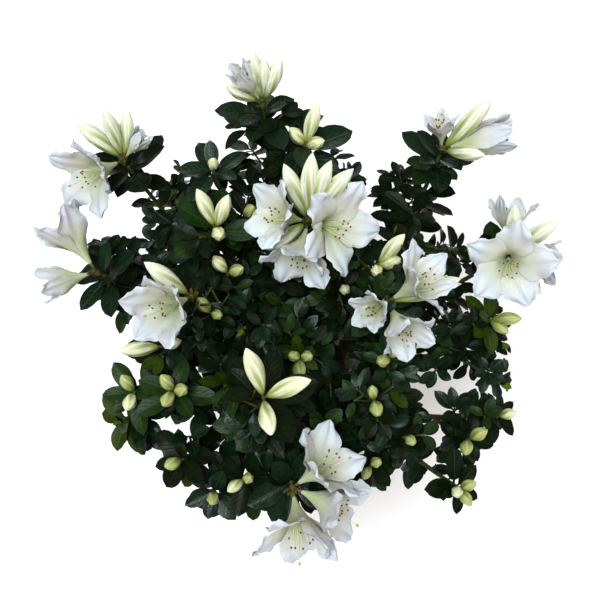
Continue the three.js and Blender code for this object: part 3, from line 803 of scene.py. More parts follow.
def spun(profile, steps):
    """A closed mesh spun about the axis from a profile of radius and height that starts and ends on it."""
    work = bmesh.new()
    verts = [work.verts.new((radius * MM, 0.0, height * MM)) for radius, height in profile]
    edges = [work.edges.new(pair) for pair in zip(verts, verts[1:])]
    bmesh.ops.spin(work, geom=verts + edges, cent=(0, 0, 0), axis=(0, 0, 1), angle=CIRCLE, steps=steps,
                   use_merge=True)
    bmesh.ops.remove_doubles(work, verts=work.verts, dist=1e-6)
    bmesh.ops.recalc_face_normals(work, faces=work.faces)
    return work


def pot_profile(settings):
    height, top = settings.height / MM, settings.top_radius / MM
    foot, rim = settings.foot_radius / MM, height - settings.rim_height / MM
    inside, inner_foot = top - RIM_PROUD - POT_WALL, foot - POT_WALL
    body = foot + (top - RIM_PROUD - foot) * rim / height
    outline = [(0, 0), (foot - 1.5, 0), (foot - 0.4, 0.4), (foot, 1.5)]
    outline += [(foot + (body - foot) * k / 12, 1.5 + (rim - 1.5) * k / 12) for k in range(1, 13)]
    outline += [(top - 1.6, rim + 0.3), (top - 0.5, rim + 1.2), (top - 0.2, rim + 2.6)]
    outline += [(top - 0.2 + 0.2 * k / 4, rim + 2.6 + (height - rim - 5.4) * k / 4) for k in range(1, 5)]
    outline += [(top - 0.3, height - 1.3), (top - 1.1, height - 0.4), (top - 2.4, height)]
    outline += [(inside + 1.4, height), (inside + 0.4, height - 0.5), (inside, height - 1.6)]
    outline += [(inner_foot + (inside - inner_foot) * k / 8, POT_FLOOR + 2 + (height - POT_FLOOR - 4) * k / 8)
                for k in range(7, -1, -1)]
    return outline + [(inner_foot - 2, POT_FLOOR), (0, POT_FLOOR)]


class AZALEA_OT_pot(bpy.types.Operator):
    """Spins the clay pot and cuts its drain holes"""

    bl_idname = "azalea.pot"
    bl_label = "Clay Pot"

    def execute(self, context):
        settings = context.scene.azalea_pot
        pot = self.shown("pot_clay", spun(pot_profile(settings), settings.steps))
        work, radius = bmesh.new(), DRAIN_RADIUS * MM
        for k in range(DRAIN_COUNT):
            centre = Vector(place(45 + 360 / DRAIN_COUNT * k, DRAIN_REACH, POT_FLOOR / 2) * MM)
            bmesh.ops.create_cone(work, cap_ends=True, segments=24, radius1=radius, radius2=radius,
                                  depth=3 * POT_FLOOR * MM, matrix=Matrix.Translation(centre))
        cutter = self.shown("drain_cutter", work)
        cut = pot.modifiers.new("Drain", "BOOLEAN")
        cut.object, cut.operation, cut.solver = cutter, "DIFFERENCE", "EXACT"
        pot.data = bpy.data.meshes.new_from_object(pot.evaluated_get(context.evaluated_depsgraph_get()))
        pot.modifiers.clear()
        bpy.data.objects.remove(cutter)
        if len(pot.data.polygons) < settings.steps:
            raise RuntimeError("the pot lost its faces when its drain holes were cut")
        blunt = math.radians(40)
        mark_edges(pot.data, lambda edge: len(edge.link_faces) < 2 or edge.calc_face_angle() < blunt)
        pot.data.materials.append(clay_material(tuple(settings.clay)))
        join_frame(pot, ["pot"])
        return {"FINISHED"}

    def shown(self, name, work):
        mesh = bpy.data.meshes.new(name)
        work.to_mesh(mesh)
        work.free()
        return show(name, mesh)


def fill_radius(height, settings):
    """The pot's inner radius at a height, less the clearance to what fills it."""
    foot = settings.foot_radius / MM - POT_WALL
    top = settings.top_radius / MM - RIM_PROUD - POT_WALL
    return foot + (top - foot) * (height - POT_FLOOR) / (settings.height / MM - POT_FLOOR) - 2 * GAP


def level_ring(reach, sides):
    """A ring's corners about the axis."""
    turns = turns_of(sides)
    return columns(reach * np.cos(turns), reach * np.sin(turns), np.zeros(sides))


class AZALEA_OT_compost(bpy.types.Operator):
    """Fills the pot with compost and strews loose crumbs on it"""

    bl_idname = "azalea.compost"
    bl_label = "Compost"

    def execute(self, context):
        pot, settings = context.scene.azalea_pot, context.scene.azalea_compost
        random = Random(101)
        edge, floor, sides = COMPOST_TOP - 4.0, POT_FLOOR + GAP, 90
        radius = fill_radius(edge, pot)
        rings = [(fill_radius(floor, pot), floor), (radius, edge)]
        rings += [(radius * share, COMPOST_TOP - 1.3 - 1.6 * share**4) for share in np.linspace(0.97, 0.05, 30)]
        points = []
        for reach, height in rings:
            ring = level_ring(reach, sides)
            ring[:, 2] = height
            if height > edge:
                x, y = ring[:, 0], ring[:, 1]
                lift = 0.7 * np.sin(x * 0.31 + 1.3 * np.sin(y * 0.22)) * np.cos(y * 0.27 + 0.8)
                ring[:, 2] += lift + [random.between(-0.35, 0.35) for _ in range(sides)]
            points.append(ring)
        heap = Heap()
        heap.add(np.concatenate([*points, [[0, 0, floor], [0, 0, COMPOST_TOP - 1.3]]]), *tube_faces(len(rings), sides))
        for _ in range(settings.crumbs):
            self.crumb(heap, random, radius, settings.crumb_size / MM)
        peat = tuple(settings.peat)
        damp = plain_material("Damp Compost", peat, tinted(peat, (2.4, 2.2, 1.9)), 0.95, 260.0, 1400.0, 0.8)
        join_frame(heap.piece("compost_fill", [damp]), ["compost"])
        return {"FINISHED"}

    def crumb(self, heap, random, radius, size):
        reach = radius * 0.96 * math.sqrt(random())
        if reach < TRUNK_RADII[0] + FLARE["width"]:
            return
        spot = place(360 * random(), reach, COMPOST_TOP - 1.2)
        across = size * random.between(0.25, 1.0) / 2
        points = np.array([spot + [0, 0, -across * 0.3], spot + [0, 0, across * 0.7]])
        vertices = tube(points, [across, across * random.between(0.4, 0.8)], 6)
        vertices += np.array([[random.between(-0.25, 0.25) * across for _ in range(3)] for _ in vertices])
        heap.add(vertices, *tube_faces(2, 6))


def bark_relief(rings, sides, depth, length, seed):
    """Furrows that run along a limb, wander and break up."""
    random = Random(seed)
    along = np.linspace(0.0, length, rings)[:, None]
    turn = turns_of(sides)[None, :]
    relief = np.zeros((rings, sides))
    for order in (2, 3, 5, 8):
        phase = random.between(0.0, 6.28)
        wander = 0.9 * np.sin(along * random.between(0.05, 0.16) + phase)
        furrow = np.sin(order * turn + wander * order * 0.5 + phase)
        relief += furrow * np.sin(along * order * 0.07 + phase) / order**0.4
    relief += np.array([[random.between(-0.7, 0.7) for _ in range(sides)] for _ in range(rings)])
    return relief * depth


class AZALEA_OT_wood(bpy.types.Operator):
    """Grows the trunk and boughs with bark relief"""

    bl_idname = "azalea.wood"
    bl_label = "Trunk and Boughs"

    def execute(self, context):
        settings = context.scene.azalea_wood
        depth, heap = settings.relief / MM, Heap()
        self.trunk(heap, depth)
        for index, mass in enumerate(crown()):
            bough, sides = mass.bough, 14
            shares = np.linspace(0.0, 1.0, max(8, int(bough.length / 2.5)))
            collar = 1.1 * np.exp(-shares * bough.length / 5.0)
            taper = between(LIMB_RADII["side_bough" if mass.lead else "lead_bough"], shares) + collar
            relief = bark_relief(len(shares), sides, depth * 0.45, bough.length, index + 3)
            add_tube(heap, bough.at(shares), taper, sides, relief=relief)
        bark = tuple(settings.bark)
        piece = heap.piece("wood", [bark_material("Old Bark", bark, tinted(bark, (0.55, 0.5, 0.5)), 0.88)])
        join_frame(piece, ["trunk"] + [f"bough_{mass.name}" for mass in crown()])
        return {"FINISHED"}

    def trunk(self, heap, depth):
        rings, sides, foot = 34, 36, COMPOST_TOP + GAP
        shares = np.linspace(0.0, 1.0, rings)
        heights = between((foot, TRUNK_TOP), shares**1.2)
        lobing = 1 - FLARE["lobing"] + FLARE["lobing"] * np.cos(FLARE["lobes"] * turns_of(sides))
        flare = FLARE["width"] * np.clip(1 - (heights - foot) / FLARE["height"], 0, 1)[:, None] ** 2 * lobing
        reaches = between(TRUNK_RADII, shares)[:, None] + flare + bark_relief(rings, sides, depth, TRUNK_TOP - foot, 2)
        points = [trunk_axis(height) for height in heights]
        around = [point + level_ring(reach, sides) for point, reach in zip(points, reaches)]
        heap.add(np.concatenate([*around, [points[0], points[-1] + [0, 0, 1.5]]]), *tube_faces(rings, sides))


# Leaves and bloom.


def leaf_grid(length, width, fold, droop, rows, across, curl=0.0, wave=0.0):
    """The upper side of a leaf along X, with its sides raised and its tip lowered."""
    shares = np.linspace(0.0, 1.0, rows + 1)[:, None]
    across = np.linspace(-1.0, 1.0, across + 1)[None, :]
    outline = np.sin(math.pi * np.clip(shares, 1e-5, 1) ** 1.25) ** 0.64
    outline = np.maximum(outline * smooth(0.0, 0.3, shares), 0.11 * (1 - shares))
    outline = outline * (1 - smooth(0.985, 1.0, shares))
    y = width / 2 * outline * across * (1 - 0.06 * curl) + curl * width * 0.12 * shares**2
    lift = fold * outline * np.abs(across) ** 1.3 + 0.35 * np.sin(math.pi * np.abs(across)) * outline
    z = lift - droop * shares**2 + wave * np.sin(shares * 9 + curl * 5) * np.abs(across) * outline
    x = length * (shares - 0.04 * (droop / max(length, 1)) * shares**2)
    return np.stack(np.broadcast_arrays(x, y, z), axis=2)


def leaf_frame(along, above):
    normal = unit(above - along * np.dot(above, along))
    return np.stack([along, np.cross(normal, along), normal])


def add_scale(heap, root, out, above, length, width):
    """A small pointed scale, its width a share of its length."""
    rows, across = 4, 2
    sheet = blade(leaf_grid(length, length * width, 0.6, -0.6, rows, across), LEAF_THICKNESS)
    heap.add(sheet @ leaf_frame(out, above) + root, *blade_faces(rows, across)[:2])


def petal_grid(settings, lean, random, turn, breadth, point):
    """The inner side of one petal, from its stalk to its tip, about the flower's axis.

    A higher point makes a narrower tip.
    """
    tube_length, limb = settings.tube / MM, settings.limb / MM * random.between(0.94, 1.08)
    throat, width = settings.throat / MM, settings.petal_width / MM * breadth * random.between(0.92, 1.08)
    ruffle = settings.ruffle / MM
    stalk, foot = 8.0, 1.5
    openness = math.sin(lean)
    fullness = openness / 0.84

    # The petal's course in the plane of the axis, and its width and curl along it.
    marks = np.linspace(stalk, tube_length + limb, 81)
    limb_share = np.clip((marks - tube_length) / limb, 0.0, 1.0)
    tube_share = np.clip((marks - stalk) / (tube_length - stalk), 0.0, 1.0)
    slope = 0.16 + 0.34 * tube_share * (1 - limb_share)
    recurve = random.between(0.05, 0.75) * openness
    bend = slope + (lean * 1.1 - slope) * smooth(0.0, 0.45, limb_share) + recurve * smooth(0.5, 1.0, limb_share)
    step = marks[1] - marks[0]
    reach = foot + np.concatenate([[0], np.cumsum(np.sin(bend[:-1]) * step)])
    rise = stalk + np.concatenate([[0], np.cumsum(np.cos(bend[:-1]) * step)])
    reach *= 1 + (throat / np.interp(tube_length, marks, reach) - 1) * tube_share
    outline = limb_share**0.55 * (1 - limb_share) ** point
    along_tube = math.pi / 5 * reach
    spread = np.minimum(width / 2 * (outline / outline.max()) * (0.66 + 0.34 * fullness), along_tube * 1.6)
    join = (1 - limb_share) ** 8
    half = np.where(limb_share > 0, along_tube * join + spread * (1 - join), along_tube)
    curl = 1 / reach * (1 - smooth(0.0, 0.5, limb_share)) + (0.03 - 0.04 * openness) * smooth(0.2, 0.7, limb_share)

    at = stalk + np.linspace(0.0, 1.0, PETAL_ROWS + 1) ** 0.88 * (tube_length + limb - stalk)
    share, half, curl, reach, rise, slant = (np.interp(at, marks, values)[:, None]
                                             for values in (limb_share, half, curl, reach, rise, bend))

    # The rows of points across it, curled round the axis and waved towards the rim.
    across = np.linspace(-1.0, 1.0, PETAL_COLUMNS + 1)[None, :]
    late, side = smooth(0.2, 0.8, share), np.sign(across)
    phases = [random.between(0, 6.28) for _ in range(4)]
    slow = np.sin(share * random.between(10, 16) + phases[0] + 1.7 * side)
    quick = np.sin(share * random.between(26, 36) + phases[1] - side)
    y = half * across * (1 + 0.06 * late * np.abs(across) * (quick - slow))
    is_flat = np.abs(curl) < 1e-5
    curl, angle = np.where(is_flat, 1, curl), y * curl
    sideways = np.where(is_flat, y, np.sin(angle) / curl)
    inward = np.where(is_flat, 0, (1 - np.cos(angle)) / curl)
    lift = ruffle * late * np.abs(across) ** 1.8 * (slow + 0.45 * quick) * (0.4 + 0.6 * fullness)
    lift = lift + 0.3 * ruffle * late * np.sin(across * random.between(6, 9) + phases[2] + 2 * share)
    lift = lift + random.between(-0.16, 0.16) * y * late
    lift = lift - 1.3 * across * smooth(0.0, 0.2, share)
    lift = lift - 0.8 * np.exp(-((across / 0.13) ** 2)) * smooth(0.0, 0.3, share) * (1 - 0.6 * share)
    off, turn = lift - inward, math.radians(turn)
    radial, axial = reach + off * np.cos(slant), rise - off * np.sin(slant)
    grid = np.stack([sideways * math.cos(turn) - radial * math.sin(turn),
                     sideways * math.sin(turn) + radial * math.cos(turn), axial], axis=2)
    grid[-1] = grid[-1].mean(axis=0)
    return grid


class Truss:
    """Builds the trusses' flowers and buds into shared heaps."""

    def __init__(self, settings):
        self.settings, self.placed = settings, Neighbours()
        self.heaps = {kind: Heap() for kind in ("petals", "stamens", "large_buds", "scales")}

    def build(self, name, tip, axis, random):
        self.random = random
        foot = tip + GAP * axis
        heart = foot + HUB_LENGTH * HUB_HEART * axis
        hub = np.stack([foot - 2 * axis, foot, heart, foot + HUB_LENGTH * axis])
        add_tube(self.heaps["scales"], hub, [1.4, 2.0, 2.4, 1.2], 10)
        for k in range(7):
            out = leaving(axis, random.between(28, 60), k * GOLDEN_ANGLE)
            self.scale(foot + axis * random.between(0, 4), out, axis, random.between(6, 10))
        for kind, bearing, rise, share in sorted(TRUSSES[name], key=lambda item: item[0] != "bud"):
            make = self.bud if kind == "bud" else self.flower
            make(heart, heading(bearing, rise), share, kind)

    def scale(self, root, out, above, length):
        add_scale(self.heaps["scales"], root, out, above, length, 0.36)

    def stalk(self, heart, along, length):
        points = np.stack([heart, heart + along * length * 0.5, heart + along * length])
        add_tube(self.heaps["scales"], points, [1.1, 1.0, 1.5], 8)
        for k in range(5):
            self.scale(heart + along * (length - 1.5), leaving(along, 24, 72 * k), along, 4.5)

    def bud(self, heart, along, share, _):
        length = self.settings.bud_length / MM * share
        radius = self.settings.bud_radius / MM * math.sqrt(share)
        self.stalk(heart, along, 7.0)
        vertices, faces, maps = bud_shape(heart + along * 5.5, along, length - 5.5, radius, self.random)
        self.heaps["large_buds"].add(vertices, faces, maps)
        self.placed.add(vertices, tree_of(vertices, faces))

    def flower(self, heart, along, size, kind):
        random, lean, side = self.random, getattr(self.settings, f"{kind}_lean"), side_of(along)
        basis = np.stack([side, np.cross(along, side), along])
        self.stalk(heart, along, 8.5 * size)
        start = 90.0 + random.between(-12, 12)
        breadth, point = random.between(0.95, 1.12), random.between(0.62, 0.86)
        faces, maps, slots, _ = blade_faces(PETAL_ROWS, PETAL_COLUMNS)
        shapes = []
        for k in range(5):
            for tries in range(6):
                part = lean * (1 - 0.12 * tries) * random.between(0.9, 1.08)
                grid = petal_grid(self.settings, part, random, start + 72 * k, breadth, point) * size
                vertices = blade(grid, PETAL_THICKNESS) @ basis + heart
                shape = tree_of(vertices, faces)
                if self.placed.is_clear(vertices, shape):
                    break
            self.heaps["petals"].add(vertices, faces, maps, slots)
            shapes.append((vertices, shape))
        for vertices, shape in shapes:
            self.placed.add(vertices, shape)
        self.stamens(heart, basis, lean, size)

    def stamens(self, heart, basis, lean, size):
        """Filaments that rise from the tube, sag to the flower's lower side and turn up at their tips."""
        along = basis[2]
        sag = -UP + along * np.dot(UP, along)
        sag = unit(sag) if np.linalg.norm(sag) > 0.2 else basis[0]
        count = self.settings.stamens + 1
        shares = np.linspace(0.0, 1.0, 9)[:, None]
        for k in range(count):
            is_style = k == count - 1
            fan = (leaving(along, 90, 360 / count * k) * 0.8 + sag * 0.6) * (0.5 + 0.65 * math.sin(lean))
            length = 52.0 if is_style else self.random.between(36, 46)
            points = along * (9 + (length - 9) * shares) + fan * self.random.between(6.0, 11.0) * shares**1.4
            points = heart + (points - sag * 3.5 * shares**4) * size
            radii = np.linspace(0.5, 0.3, 9) * (1.25 if is_style else 1)
            add_tube(self.heaps["stamens"], points, radii, 5)
            knob, slot = (0.95, 2) if is_style else (0.68, 1)
            way = unit(points[-1] - points[-2])
            cap = np.stack([points[-1] + way * knob * step for step in (-1, -0.3, 0.6, 1.3)])
            add_tube(self.heaps["stamens"], cap, np.array([0.5, 1.0, 0.95, 0.45]) * knob, 7, slot)


def bud_shape(root, along, length, radius, random, plump=0.52, twist=0.6, blunt=0.8):
    """A spindle of five overlapping petals, folded round each other to a point."""
    rings, sides = 15, 30
    shares = np.linspace(0.0, 1.0, rings)
    swell = np.sin(math.pi * np.clip(shares, 0, 1) ** (math.log(0.5) / math.log(plump))) ** blunt
    profile = radius * (swell * 0.92 + 0.22 * (1 - shares) ** 2 * (1 - swell)) + 0.25
    turns = np.linspace(0.0, 1.0, sides, endpoint=False)
    shares = shares[:, None]
    fold = np.mod(turns * 5 + twist * shares, 1.0)
    relief = (fold - 0.5) * 0.24 - 0.14 * np.exp(-((np.minimum(fold, 1 - fold) / 0.09) ** 2))
    relief = relief * profile[:, None] * smooth(0.02, 0.3, shares)
    lean = leaving(along, 90, 360 * random())
    points = root + along * length * shares + lean * length * 0.06 * shares**2
    return tube(points, profile, sides, relief), *tube_faces(rings, sides)


class AZALEA_OT_bloom(bpy.types.Operator):
    """Opens the trusses of flowers and large buds"""

    bl_idname = "azalea.bloom"
    bl_label = "Bloom"

    def execute(self, context):
        settings = context.scene.azalea_bloom
        truss = Truss(settings)
        masses = [mass for mass in crown() if mass.carries[0] == "truss"]
        for index, mass in enumerate(masses):
            truss.build(mass.name, mass.tips[0], mass.axes[0], Random(41 + index))
        petal, throat = tuple(settings.petal), tuple(settings.throat_green)
        materials = {
            "petals": [petal_material("Petal Inside", petal, throat, 0.7, 0.8),
                       petal_material("Petal Outside", petal, throat, 0.75, 0.6)],
            "stamens": [plain_material("Filament", (0.6, 0.65, 0.36, 1), (0.7, 0.72, 0.5, 1), 0.5),
                        plain_material("Anther", (0.17, 0.06, 0.03, 1), (0.26, 0.11, 0.05, 1), 0.7),
                        plain_material("Stigma", (0.35, 0.45, 0.1, 1), (0.45, 0.5, 0.15, 1), 0.5)],
            "large_buds": [bud_material("Large Bud", (0.71, 0.72, 0.59), (0.28, 0.33, 0.08), 0.38)],
            "scales": [plain_material("Bud Scale", (0.085, 0.11, 0.022, 1), (0.16, 0.11, 0.035, 1), 0.6)],
        }
        nodes = [f"bloom_{mass.name}" for mass in masses]
        for kind, heap in truss.heaps.items():
            join_frame(heap.piece(kind, materials[kind]), nodes)
        return {"FINISHED"}


# Foliage.


class Foliage:
    """Grows twigs, leaves and small buds from the stems, clear of what stands there."""

    def __init__(self, settings, bloom, obstacles):
        self.settings, self.bloom, self.placed = settings, bloom, Neighbours(obstacles)
        self.leaves = {side: Heap() for side in SIDES}
        self.twigs, self.buds, self.scales = Heap(), Heap(), Heap()
        self.low, self.high = (np.array(corner) / MM for corner in CAD_BOX)
        self.full_leaf = settings.leaf / MM
        heads = [(tip, axis) for mass in crown() for tip, axis, carries in zip(mass.tips, mass.axes, mass.carries)
                 if carries in ("cluster", "small")]
        self.head_tips, self.head_axes = np.array(heads).transpose(1, 0, 2)

    def inside(self, points):
        return bool((points >= self.low).all() and (points <= self.high).all())

    def hides_buds(self, vertices, root):
        """Whether a leaf stands over the buds of a shoot that it doesn't grow from."""
        offsets = vertices[:, None, :] - self.head_tips[None, :, :]
        above = (offsets * self.head_axes).sum(axis=2)
        beside = np.linalg.norm(offsets - above[:, :, None] * self.head_axes, axis=2)
        low, high = BUD_SIGHT["above"]
        is_over = ((above > low) & (above < high) & (beside < BUD_SIGHT["beside"])).any(axis=0)
        is_own = np.linalg.norm(self.head_tips - root, axis=1) < BUD_SIGHT["own"]
        return bool((is_over & ~is_own).any())

    def in_space(self, point):
        """Whether a point is nearer to its own mass than to the others, or hardly farther."""
        reaches = {mass.name: np.linalg.norm(mass.sites - point, axis=1).min() for mass in crown()}
        return reaches.pop(self.mass.name) < min(reaches.values()) * 1.2

    def fits(self, vertices, faces, first=0):
        """Whether a shape is clear of what stands there. If it is, it stands there from now on."""
        shape = tree_of(vertices, faces)
        if not self.placed.is_clear(vertices[first:], shape):
            return False
        self.placed.add(vertices, shape)
        return True

    def leaf(self, root, along, above, length, tone):
        """A leaf, if there is room for it. Says whether there was."""
        settings, random = self.settings, self.random
        scale = length * MM / settings.leaf
        width = settings.leaf_width / MM * scale * random.between(0.88, 1.1)
        droop = settings.droop / MM * scale * random.between(-0.2, 2.0)
        fold = settings.fold / MM * scale * random.between(0.5, 1.6)
        grid = leaf_grid(length, width, fold, droop, LEAF_ROWS, LEAF_COLUMNS, random.between(-1, 1),
                         random.between(0.0, 0.7))
        vertices = blade(grid, LEAF_THICKNESS) @ leaf_frame(along, above) + root
        faces, maps, sheet, _ = blade_faces(LEAF_ROWS, LEAF_COLUMNS)
        past_root = faces[(sheet == 0) & (faces.min(axis=1) > LEAF_COLUMNS)]
        if not self.inside(vertices) or self.hides_buds(vertices, root) or not self.fits(vertices, past_root):
            return False
        self.leaves[self.mass.side].add(vertices, faces, maps, np.where(sheet == 0, tone, UNDERSIDE))
        return True

    def tone(self):
        """One colour for a whole spray, from mostly dark to olive."""
        draw = self.random()
        return OLIVE if self.is_young else sum(draw >= limit for limit in TONE_DRAWS)

    def rosette(self, end, axis, size, count):
        """Leaves about the end of a shoot, the lower ones flatter. A leaf that doesn't fit is tried again."""
        random = self.random
        start, tone, above = 360 * random(), self.tone(), unit(axis + 0.9 * UP)
        for i in range(count):
            for attempt in range(3):
                turn = start + GOLDEN_ANGLE * i + random.between(-12, 12) + 25 * attempt
                along = leaving(axis, random.between(50, 62) + 5 * i, turn)
                length = self.full_leaf * size * random.swing() * (0.8 + 0.04 * i)
                if self.leaf(end - axis * (0.6 + 1.1 * i), along, above, length, tone):
                    break

    def young_leaves(self, end, axis):
        for i in range(4):
            along = leaving(axis, self.random.between(14, 34), 90 * i + 30 * self.random())
            self.leaf(end - axis * 0.5, along, axis, self.full_leaf * self.random.between(0.3, 0.45), YOUNG)

    def single_leaves(self, curve, first, last):
        """Leaves that stand one by one on the bare end of a stem."""
        count = int(curve.length * (last - first) / 7.5)
        for k in range(count):
            share = first + (last - first) * (k + 0.5) / count
            along = leaving(curve.tangent(share), self.random.between(52, 70), GOLDEN_ANGLE * k)
            length = self.full_leaf * self.mass.leaf_size * self.random.swing() * 0.88
            self.leaf(curve.at(share), along, UP, length, self.tone())

    def buds_on(self, tip, axis, carries, count):
        """The buds on a shoot's tip: its mass's cluster, or a number of small ones that lean out round it."""
        random, start, is_cluster = self.random, 360 * self.random(), carries == "cluster"
        if is_cluster:
            buds = [(size, heading(bearing, rise), share) for size, bearing, rise, share in CLUSTERS[self.mass.name]]
        else:
            lean = 14 if count == 1 else 42
            buds = [("small", leaving(axis, lean, start + 360 / count * i), random.swing()) for i in range(count)]
        for i, (size, along, share) in enumerate(buds):
            is_pale = is_cluster or random() < 0.3
            if size == "small":
                sizes, girth, slot, plump = self.settings, share, 2 if is_pale else 0, 0.5
            else:
                sizes, girth, slot, plump = self.bloom, math.sqrt(share), 1 if size == "large" else 0, 0.52
            root, length = tip - axis * (1.2 + 0.4 * i), sizes.bud_length / MM * share
            self.bud(root, along, length, sizes.bud_radius / MM * girth, slot, plump)

    def bud(self, root, along, length, radius, slot, plump):
        neck, random = min(4.0, 0.12 * length), self.random
        vertices, faces, maps = bud_shape(root + along * neck, along, length - neck, radius, random, plump, 0.5, 0.78)
        shape = tree_of(vertices, faces)
        if any(other.overlap(shape) for other in self.placed.fixed):
            return
        self.placed.add(vertices, shape)
        self.buds.add(vertices, faces, maps, slot)
        add_tube(self.scales, np.stack([root, root + along * 2.5, root + along * 5]), [1.0, 0.9, 1.5], 8)
        for k in range(5):
            add_scale(self.scales, root + along * 2, leaving(along, 28, 72 * k + 20 * random()), along, 5.5, 0.42)

    def slots(self, rings, sides, from_share):
        """Old wood up to a share of a limb's length and green wood after it."""
        body = np.repeat(np.arange(rings - 1), sides) / (rings - 1) > from_share
        return np.concatenate([body, np.zeros(sides), np.ones(sides)]).astype(int)

    def stem(self, curve, is_lead):
        shares = np.linspace(0.0, 1.0, max(8, int(curve.length / 5)))
        points = curve.at(shares)
        if is_lead:
            points[0] = points[0] - curve.tangent(0.0) * 1.5
        radii = between(LIMB_RADII["lead_stem" if is_lead else "side_stem"], shares)
        add_tube(self.twigs, points, radii, 8, self.slots(len(points), 8, 0.2))

    def twig(self, foot, axis, length, turn, side_leaves, size):
        """A twig with its leaves, if there is room for it. Gives its curve."""
        way = unit(leaving(axis, TWIG_BEND["spread"], turn) + TWIG_BEND["lift"] * UP)
        middle = foot + way * TWIG_BEND["middle"] * length
        end = middle + unit(way + TWIG_BEND["rise"] * UP) * (1 - TWIG_BEND["middle"]) * length
        if not self.in_space(end) or not self.inside(end):
            return None
        curve, rings, sides = Curve(foot, middle, end), 7, 6
        vertices = tube(curve.at(np.linspace(0.0, 1.0, rings)), np.linspace(*LIMB_RADII["twig"], rings), sides)
        faces, maps = tube_faces(rings, sides)
        past_foot = 3 * sides
        if not self.fits(vertices, faces[faces.min(axis=1) >= past_foot], past_foot):
            return None
        self.twigs.add(vertices, faces, maps, self.slots(rings, sides, -1))
        tone = self.tone()
        self.rosette(end, curve.tangent(1.0), size, self.settings.leaves - 1)
        for k in range(side_leaves):
            share = 0.35 + 0.4 * k / max(1, side_leaves)
            along = leaving(curve.tangent(share), 58, GOLDEN_ANGLE * k + 360 * self.random())
            self.leaf(curve.at(share), along, UP, self.full_leaf * size * self.random.swing() * 0.85, tone)
        return curve

    def twigs_along(self, curve, first, last):
        """Twigs on a stem from one share of its length to another, some of them with a twig of their own."""
        mass, random, settings = self.mass, self.random, self.settings
        count = max(2, round(curve.length * (last - first) / (settings.spacing / MM) * mass.leafy))
        for k in range(count):
            share = first + (last - first) * (k + 0.5) / count
            length = settings.twig / MM * (1 - TWIG_BEND["taper"] * share) * random.swing()
            size, grown = mass.leaf_size * (1.22 - 0.37 * share), None
            for attempt in range(4):
                turn = GOLDEN_ANGLE * (k * 4 + attempt)
                grown = grown or self.twig(curve.at(share), curve.tangent(share), length, turn, 3, size)
            if grown and random() < 0.5 * mass.leafy:
                self.twig(grown.at(0.5), grown.tangent(0.5), length * 0.6, 360 * random(), 1, size)

    def grow(self, mass, random):
        self.mass, self.random, leaves = mass, random, self.settings.leaves
        for order, curve in enumerate(mass.stems):
            self.stem(curve, order == 0)
        for order, (tip, axis, carries) in enumerate(zip(mass.tips, mass.axes, mass.carries)):
            if carries in ("cluster", "small"):
                self.buds_on(tip, axis, carries, mass.counts[order])
            below = tip - axis * (WHORL_DROPS[0] if carries == "truss" else 0.0)
            self.is_young = (mass.name, order) in YOUNG_SHOOTS
            self.rosette(below, axis, mass.leaf_size * WHORL_SIZES[carries], leaves + 1)
            if carries == "truss":
                self.rosette(tip - axis * WHORL_DROPS[1], axis, mass.leaf_size * WHORL_SIZES["second"], leaves)
            if carries != "cluster":
                self.young_leaves(below, axis)
        self.is_young = False
        for curve, carries in zip(mass.stems, mass.carries):
            first, last = TWIG_SHARES
            if carries in ("truss", "small") and mass.leafy < BARE_LEAFINESS:
                self.single_leaves(curve, BARE_BELOW_TRUSS, last)
                last = BARE_BELOW_TRUSS
            self.twigs_along(curve, first, last)


